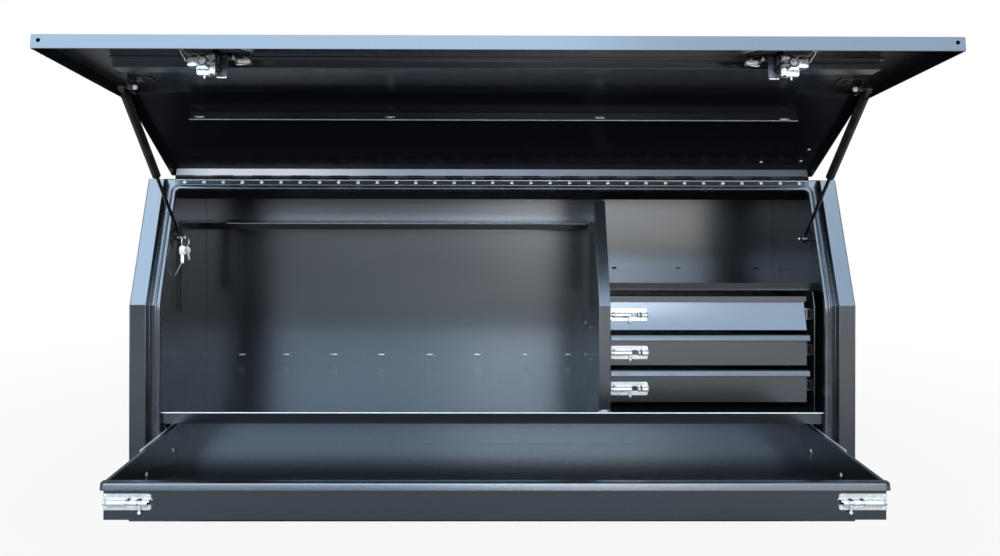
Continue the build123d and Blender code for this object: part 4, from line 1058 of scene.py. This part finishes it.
def makeCam(side):
    # The turning cam on its spindle: a tapered tongue with rounded corners, held by a nut
    tongue = slab(rounded(cam["tongue"], cam["corners"], 6)[::-1], *cam["tongueSpan"])
    nut = slab(rounded(circle(cam["nut"], 6), cam["nutCorner"], 2), *cam["nutSpan"])
    shape = onLatch(joined([tongue, barW(*cam["spindle"]), nut, barW(*cam["stud"])]), side)
    finishPiece(side + "LatchCam", shape, finishes["hinge_steel"], side + "_latch_cam_body",
                side + "_latch_cam", sharp=35, slot="latch_cast")


for side in ("left", "right"):
    makeLatch(side)
    makeWings(side)
    makeCam(side)
print("toolbox: latches")


# Strut ends: ball studs, their nuts and necks; and the post's hook on the lid

strut = {"ball": 0.0062, "ballShape": (1, 1, 1.1), "lowerBall": 0.86, "neck": 0.0030, "neckLength": 0.021,
         "nut": 0.0056, "nutIn": 0.0165, "axis": 0.766, "reach": 0.49488, "lowerLength": 0.012,
         "bead": 0.0042, "beadIn": 0.0125, "pin": 0.0025, "stud": 0.0026, "studIn": 0.006,
         "studLength": 0.008}
lowPivot = np.array(joints["left_strut_swing"]["pos_m"]) * [0, 1, 1]
strutAlong = np.array(joints["left_strut_slide"]["axis"])
highPivot = lowPivot + strutAlong * strut["reach"]


def ballOf(radius, steps=9, sides=16):
    a = np.linspace(-pi / 2, pi / 2, steps)
    return turned([(radius * cos(v) if abs(v) < 1.57 else 0, radius * sin(v)) for v in a], sides)


def makeStrutEnds(side):
    turn = -1 if side == "left" else 1
    c, inward = strut, np.array([-turn, 0, 0])
    upper, lower = (np.array([turn * c["axis"], *pivot[1:]]) for pivot in (highPivot, lowPivot))
    square = np.cross(inward, strutAlong)
    r, n, long, k, short = c["ball"], c["neck"], c["neckLength"], c["nut"], c["lowerLength"]
    collar = [(0, -0.001), (k - 0.001, -0.001), (k, 0.0005), (k, 0.0045), (k - 0.001, 0.0058),
              (0.0028, 0.0060), (0.0028, 0.0075), (0, 0.0080)]
    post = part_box("strut_upper_brackets")[turn > 0].x
    nut = aimed(turned(collar, 6), (post - turn * c["nutIn"], upper[1], upper[2]), inward)
    stud = [(0, 0), (c["stud"], 0), (c["stud"], c["studLength"]), (0, c["studLength"])]
    stud = aimed(turned(stud, 12), upper + inward * c["studIn"], inward)
    cup = placed(flattened(ballOf(r), c["ballShape"]), upper, strutAlong, square)
    shank = turned([(0, r * 0.5), (n * 1.5, r * 0.6), (n, r + 0.003), (n, long - 0.002), (n * 1.35, long),
                    (0, long)], 14)
    upperEnd = [cup, aimed(shank, upper, -strutAlong, (1, 0, 0))]
    cup = placed(flattened(ballOf(r * c["lowerBall"]), c["ballShape"]), lower, strutAlong, square)
    shank = turned([(0, r * 0.5), (n * 1.4, r * 0.6), (n * 0.95, r + 0.003), (n * 0.95, short),
                    (0, short)], 14)
    lowerEnd = [cup, aimed(shank, lower, strutAlong, (1, 0, 0))]
    bead = aimed(ballOf(c["bead"]), lower + inward * c["beadIn"], inward)
    pin = aimed(turned([(0, 0), (c["pin"], 0), (c["pin"], c["beadIn"]), (0, c["beadIn"])], 12), lower, inward)
    for name, shapes, body in (("UpperStudNut", [nut, stud], "lid"),
                               ("StrutUpperEnd", upperEnd, side + "_strut_cylinder_body"),
                               ("StrutLowerEnd", lowerEnd, side + "_strut_rod_body"),
                               ("LowerStudTip", [bead, pin], "root")):
        # The near-white finish is a painted highlight on the studs and strut ends
        finishPiece(side + name, joined(shapes), palePlatePaintedHighlight, body, slot="zinc")


hook = {"corners": [(0.7170, 0.0070), (0.7000, 0.0070), (0.6910, 0.0075), (0.6810, 0.0175)], "height": 0.330,
        "wire": 0.0030, "sides": 12, "steps": 9}


def makeHook(side):
    # Bent rod that stands off the post: straight, then turned down. Each bend runs between the middles m, n
    # of the legs at its corner c: p = m (1 - t)^2 + 2 c t (1 - t) + n t^2
    turn = -1 if side == "left" else 1
    corners = np.array(hook["corners"])
    t = np.linspace(0, 1, hook["steps"])[:, None]
    middles = (corners[1:] + corners[:-1]) / 2
    bends = [m * (1 - t) ** 2 + corner * 2 * t * (1 - t) + n * t ** 2
             for m, corner, n in zip(middles, corners[1:], middles[1:])]
    path = np.concatenate([corners[:1], bends[0], bends[1][1:], corners[3:]])
    shut = np.stack([turn * path[:, 0], front["y"] + path[:, 1], np.full(len(path), hook["height"])], -1)
    points, faces = wireAlong(shut, (0, 0, 1), hook["wire"], hook["sides"])
    finishPiece(side + "PostHook", (lidOpen(points), faces), "strut_black", "lid")


for side in ("left", "right"):
    makeStrutEnds(side)
    makeHook(side)
print("toolbox: strut ends")


# Keys: a split ring on the stud, a nickel key, a round-headed key and a thin pick

ring = {"radius": 0.0125, "wire": 0.0011, "tilt": 0.45, "drop": 0.0032, "drift": 0.0021, "steps": 73,
        "sides": 9}
# Outlines lie in the key's plane under the ring, and teeth are: count, edge, depth, turn for each, low, high
keys = {"squareBow": [(-0.0078, -0.021), (0.0078, -0.021), (0.0088, -0.006), (0.004, 0.001), (-0.004, 0.001),
                      (-0.0088, -0.006)], "corner": 0.0030, "roundBow": (0.0082, 0.0095),
        "long": [(-0.0042, -0.021), (-0.0042, -0.0405), (-0.002, -0.043), (0.0015, -0.043)],
        "longTeeth": (13, 0.0034, 0.0008, 2.1, -0.042, -0.022),
        "short": [(-0.0024, -0.017), (-0.0024, -0.034), (0.0024, -0.034)],
        "shortTeeth": (7, 0.0026, 0.0005, 2.4, -0.033, -0.018),
        "pick": [(0, 0), (0.0007, 0.0005), (0.0009, 0.002), (0.0009, 0.036), (0.0004, 0.040), (0, 0.040)],
        "pickAt": (-0.006, -0.004, -0.036), "pickWay": (-0.45, -0.05, -0.89)}


def toothed(blade, teeth):
    # Cuts down the blade's edge: u = edge + depth cos(turn k)
    count, edge, depth, turn, low, high = teeth
    cuts = np.stack([edge + depth * np.cos(np.arange(count) * turn), np.linspace(low, high, count)], -1)
    return np.concatenate([blade, cuts])


def makeKeys():
    stud, tilt = np.array(joints["key_ring_swing"]["pos_m"]), ring["tilt"]
    # Two turns of wire: centre + R (sin(tilt) cos a, cos(tilt) cos a, sin a), drifting along the ring's axis
    a = np.linspace(0, 4 * pi, ring["steps"])
    centre = stud - np.array([0, 0, ring["radius"] - ring["drop"]])
    axis = np.array([cos(tilt), -sin(tilt), 0.0])
    side = np.stack([sin(tilt) * np.cos(a), cos(tilt) * np.cos(a), np.sin(a)], -1)
    path = centre + side * ring["radius"] + (a / (4 * pi) - 0.5)[:, None] * ring["drift"] * axis
    wire = swept(circle(ring["wire"], ring["sides"]), path, side, np.tile(axis, (len(a), 1)))
    hang = centre - np.array([0, 0, ring["radius"]])

    def key(bow, blade, at, lean, twist):
        # Flat outlines set in a plane that leans and twists about the ring
        plane = Euler((0, lean, twist)).to_matrix()
        across, up = np.array(plane @ Vector((1, 0, 0))), np.array(plane @ Vector((0, 0, 1)))
        shapes = [placed(slab(outline, -thick / 2, thick / 2, thick * 0.3), hang + np.array(at), across, up)
                  for outline, thick in (bow, blade)]
        return joined(shapes)

    squareBow = rounded(keys["squareBow"], keys["corner"], 4)
    roundBow = circle(1, 28) * keys["roundBow"] - (0, keys["roundBow"][1])
    longBlade = toothed(keys["long"], keys["longTeeth"])
    shortBlade = toothed(keys["short"], keys["shortTeeth"])
    nickel = key((squareBow, 0.0024), (longBlade, 0.0021), (-0.0052, -0.003, 0.002), 0.02, 0.25)
    finishPiece("nickelKeyAndRing", joined([wire, nickel]), "zinc", "keys", "key_ring", sharp=35)
    brassy = key((roundBow, 0.0026), (shortBlade, 0.0020), (0.0058, -0.0065, 0.001), -0.20, -0.2)
    finishPiece("roundKey", brassy, nickelAndPaintedHighlight, "keys", sharp=35)
    way = np.array(keys["pickWay"])
    pick = aimed(turned(keys["pick"], 10), hang + np.array(keys["pickAt"]), way / np.linalg.norm(way))
    finishPiece("keyPick", pick, "zinc", "keys")


makeKeys()
print("toolbox: keys")


# Small marks and fastenings, each set on the first surface of the frame behind its place in the view

view = {"at": (-0.0359, -2.43185, 0.80384), "yaw": 0.0064, "roll": 0.0022, "lens": 32.80, "sensor": 36.0,
        "shift": (0.01587, -0.1000), "pixels": (1000, 556)}


def viewTurn():
    level = Euler((pi / 2, 0, -view["yaw"])).to_matrix()
    return level @ Matrix.Rotation(view["roll"], 3, "Z")


def frameSurface():
    points, faces, owners, start = [], [], [], 0
    for name, item in nodes.items():
        mesh = item.data
        points += [v.co.copy() for v in mesh.vertices]
        faces += [[i + start for i in polygon.vertices] for polygon in mesh.polygons]
        owners += [name] * len(mesh.polygons)
        start += len(mesh.vertices)
    return BVHTree.FromPolygons(points, faces), owners


surface, owners = frameSurface()


def behind(spot):
    # Place, normal and node that a line of sight meets first
    wide, tall = view["pixels"]
    x = spot[0] / wide - 0.5 + view["shift"][0]
    y = (tall / 2 - spot[1]) / wide + view["shift"][1]
    scale = view["sensor"] / view["lens"]
    aim = viewTurn() @ Vector((x * scale, y * scale, -1)).normalized()
    place, normal, index = surface.ray_cast(Vector(view["at"]), aim)[:3]
    if normal.dot(aim) > 0:
        normal = -normal
    return place, normal, owners[index]


# Places are pixels of the view, sizes are the half lengths of a flattened half ball
marks = {
    "shelfWeld": {"at": [(206, 354.5), (242, 354.5), (286, 354.5), (334, 354.5), (381, 354.5), (430, 354.5),
                         (477.5, 354.5), (526, 354.5), (568, 354.5)],
                  "size": (0.0105, 0.0022, 0.0007), "finish": "weld"},
    "upperShelfWeld": {"at": [(614, 267.5), (678, 268), (756, 268), (780, 270)],
                       "size": (0.008, 0.0020, 0.0007), "finish": "hole"},
    "dividerWeld": {"at": [(600, 411.5), (603, 411), (606, 411)], "size": (0.0040, 0.0030, 0.0016),
                    "finish": "weld"},
    "stiffenerWeld": {"at": [(199, 116.5), (390, 117), (600, 117.5), (785, 119)],
                      "size": (0.012, 0.0026, 0.0009), "finish": "weld"},
    "slideScrew": {"at": [(173, 450), (146.5, 474.5), (811, 451), (841, 475)],
                   "size": (0.0050, 0.0050, 0.0022), "finish": "zinc"},
    "dividerScrew": {"at": [(585.5, 322.7), (590.5, 327.5), (585.5, 354.2), (591, 359.6)],
                     "size": (0.0042, 0.0042, 0.0020), "finish": "zinc"},
    "wallRivet": {"at": [(461.5, 214.5), (165.3, 428)], "size": (0.0030, 0.0030, 0.0014), "finish": "zinc"},
    "lidRivet": {"at": [(761, 162), (801, 161), (809, 149.5)], "size": (0.0040, 0.0040, 0.0022),
                 "finish": "zinc"},
    "fasciaHole": {"at": [(38, 40), (958, 42.5)], "size": (0.0038, 0.0038, 0.0003), "finish": "hole"}}


def makeMarks():
    # The "hole" kind is near black: painted shade for the fascia holes and for the welds under the upper
    # shelf
    kinds = {"weld": (plainFinish("weldBead"), "powder_coat"), "hole": (holeBlack(), "powder_coat"),
             "zinc": (finishes["zinc"], "zinc")}
    halfBall = turned([(cos(v) if v < 1.57 else 0, sin(v)) for v in np.linspace(0, pi / 2, 5)], 14)
    for name, row in marks.items():
        byBody = {}
        for spot in row["at"]:
            place, normal, owner = behind(spot)
            long = Vector((1, 0, 0)) - normal * normal.x
            long = long.normalized() if long.length > 0.1 else Vector((0, 1, 0)).cross(normal).normalized()
            shape = aimed(flattened(halfBall, row["size"]), np.array(place), np.array(normal), np.array(long))
            byBody.setdefault(nodes[owner]["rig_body"], []).append(shape)
        finish, slot = kinds[row["finish"]]
        for body, shapes in byBody.items():
            finishPiece(name + "_" + body, joined(shapes), finish, body, sharp=50, slot=slot)
            print("  ", name, body, len(shapes))


makeMarks()
print("toolbox: marks and screws")


makeFloor()
makeLights()
makeWorld()
makeCamera()
print("toolbox: stage, lights and camera")
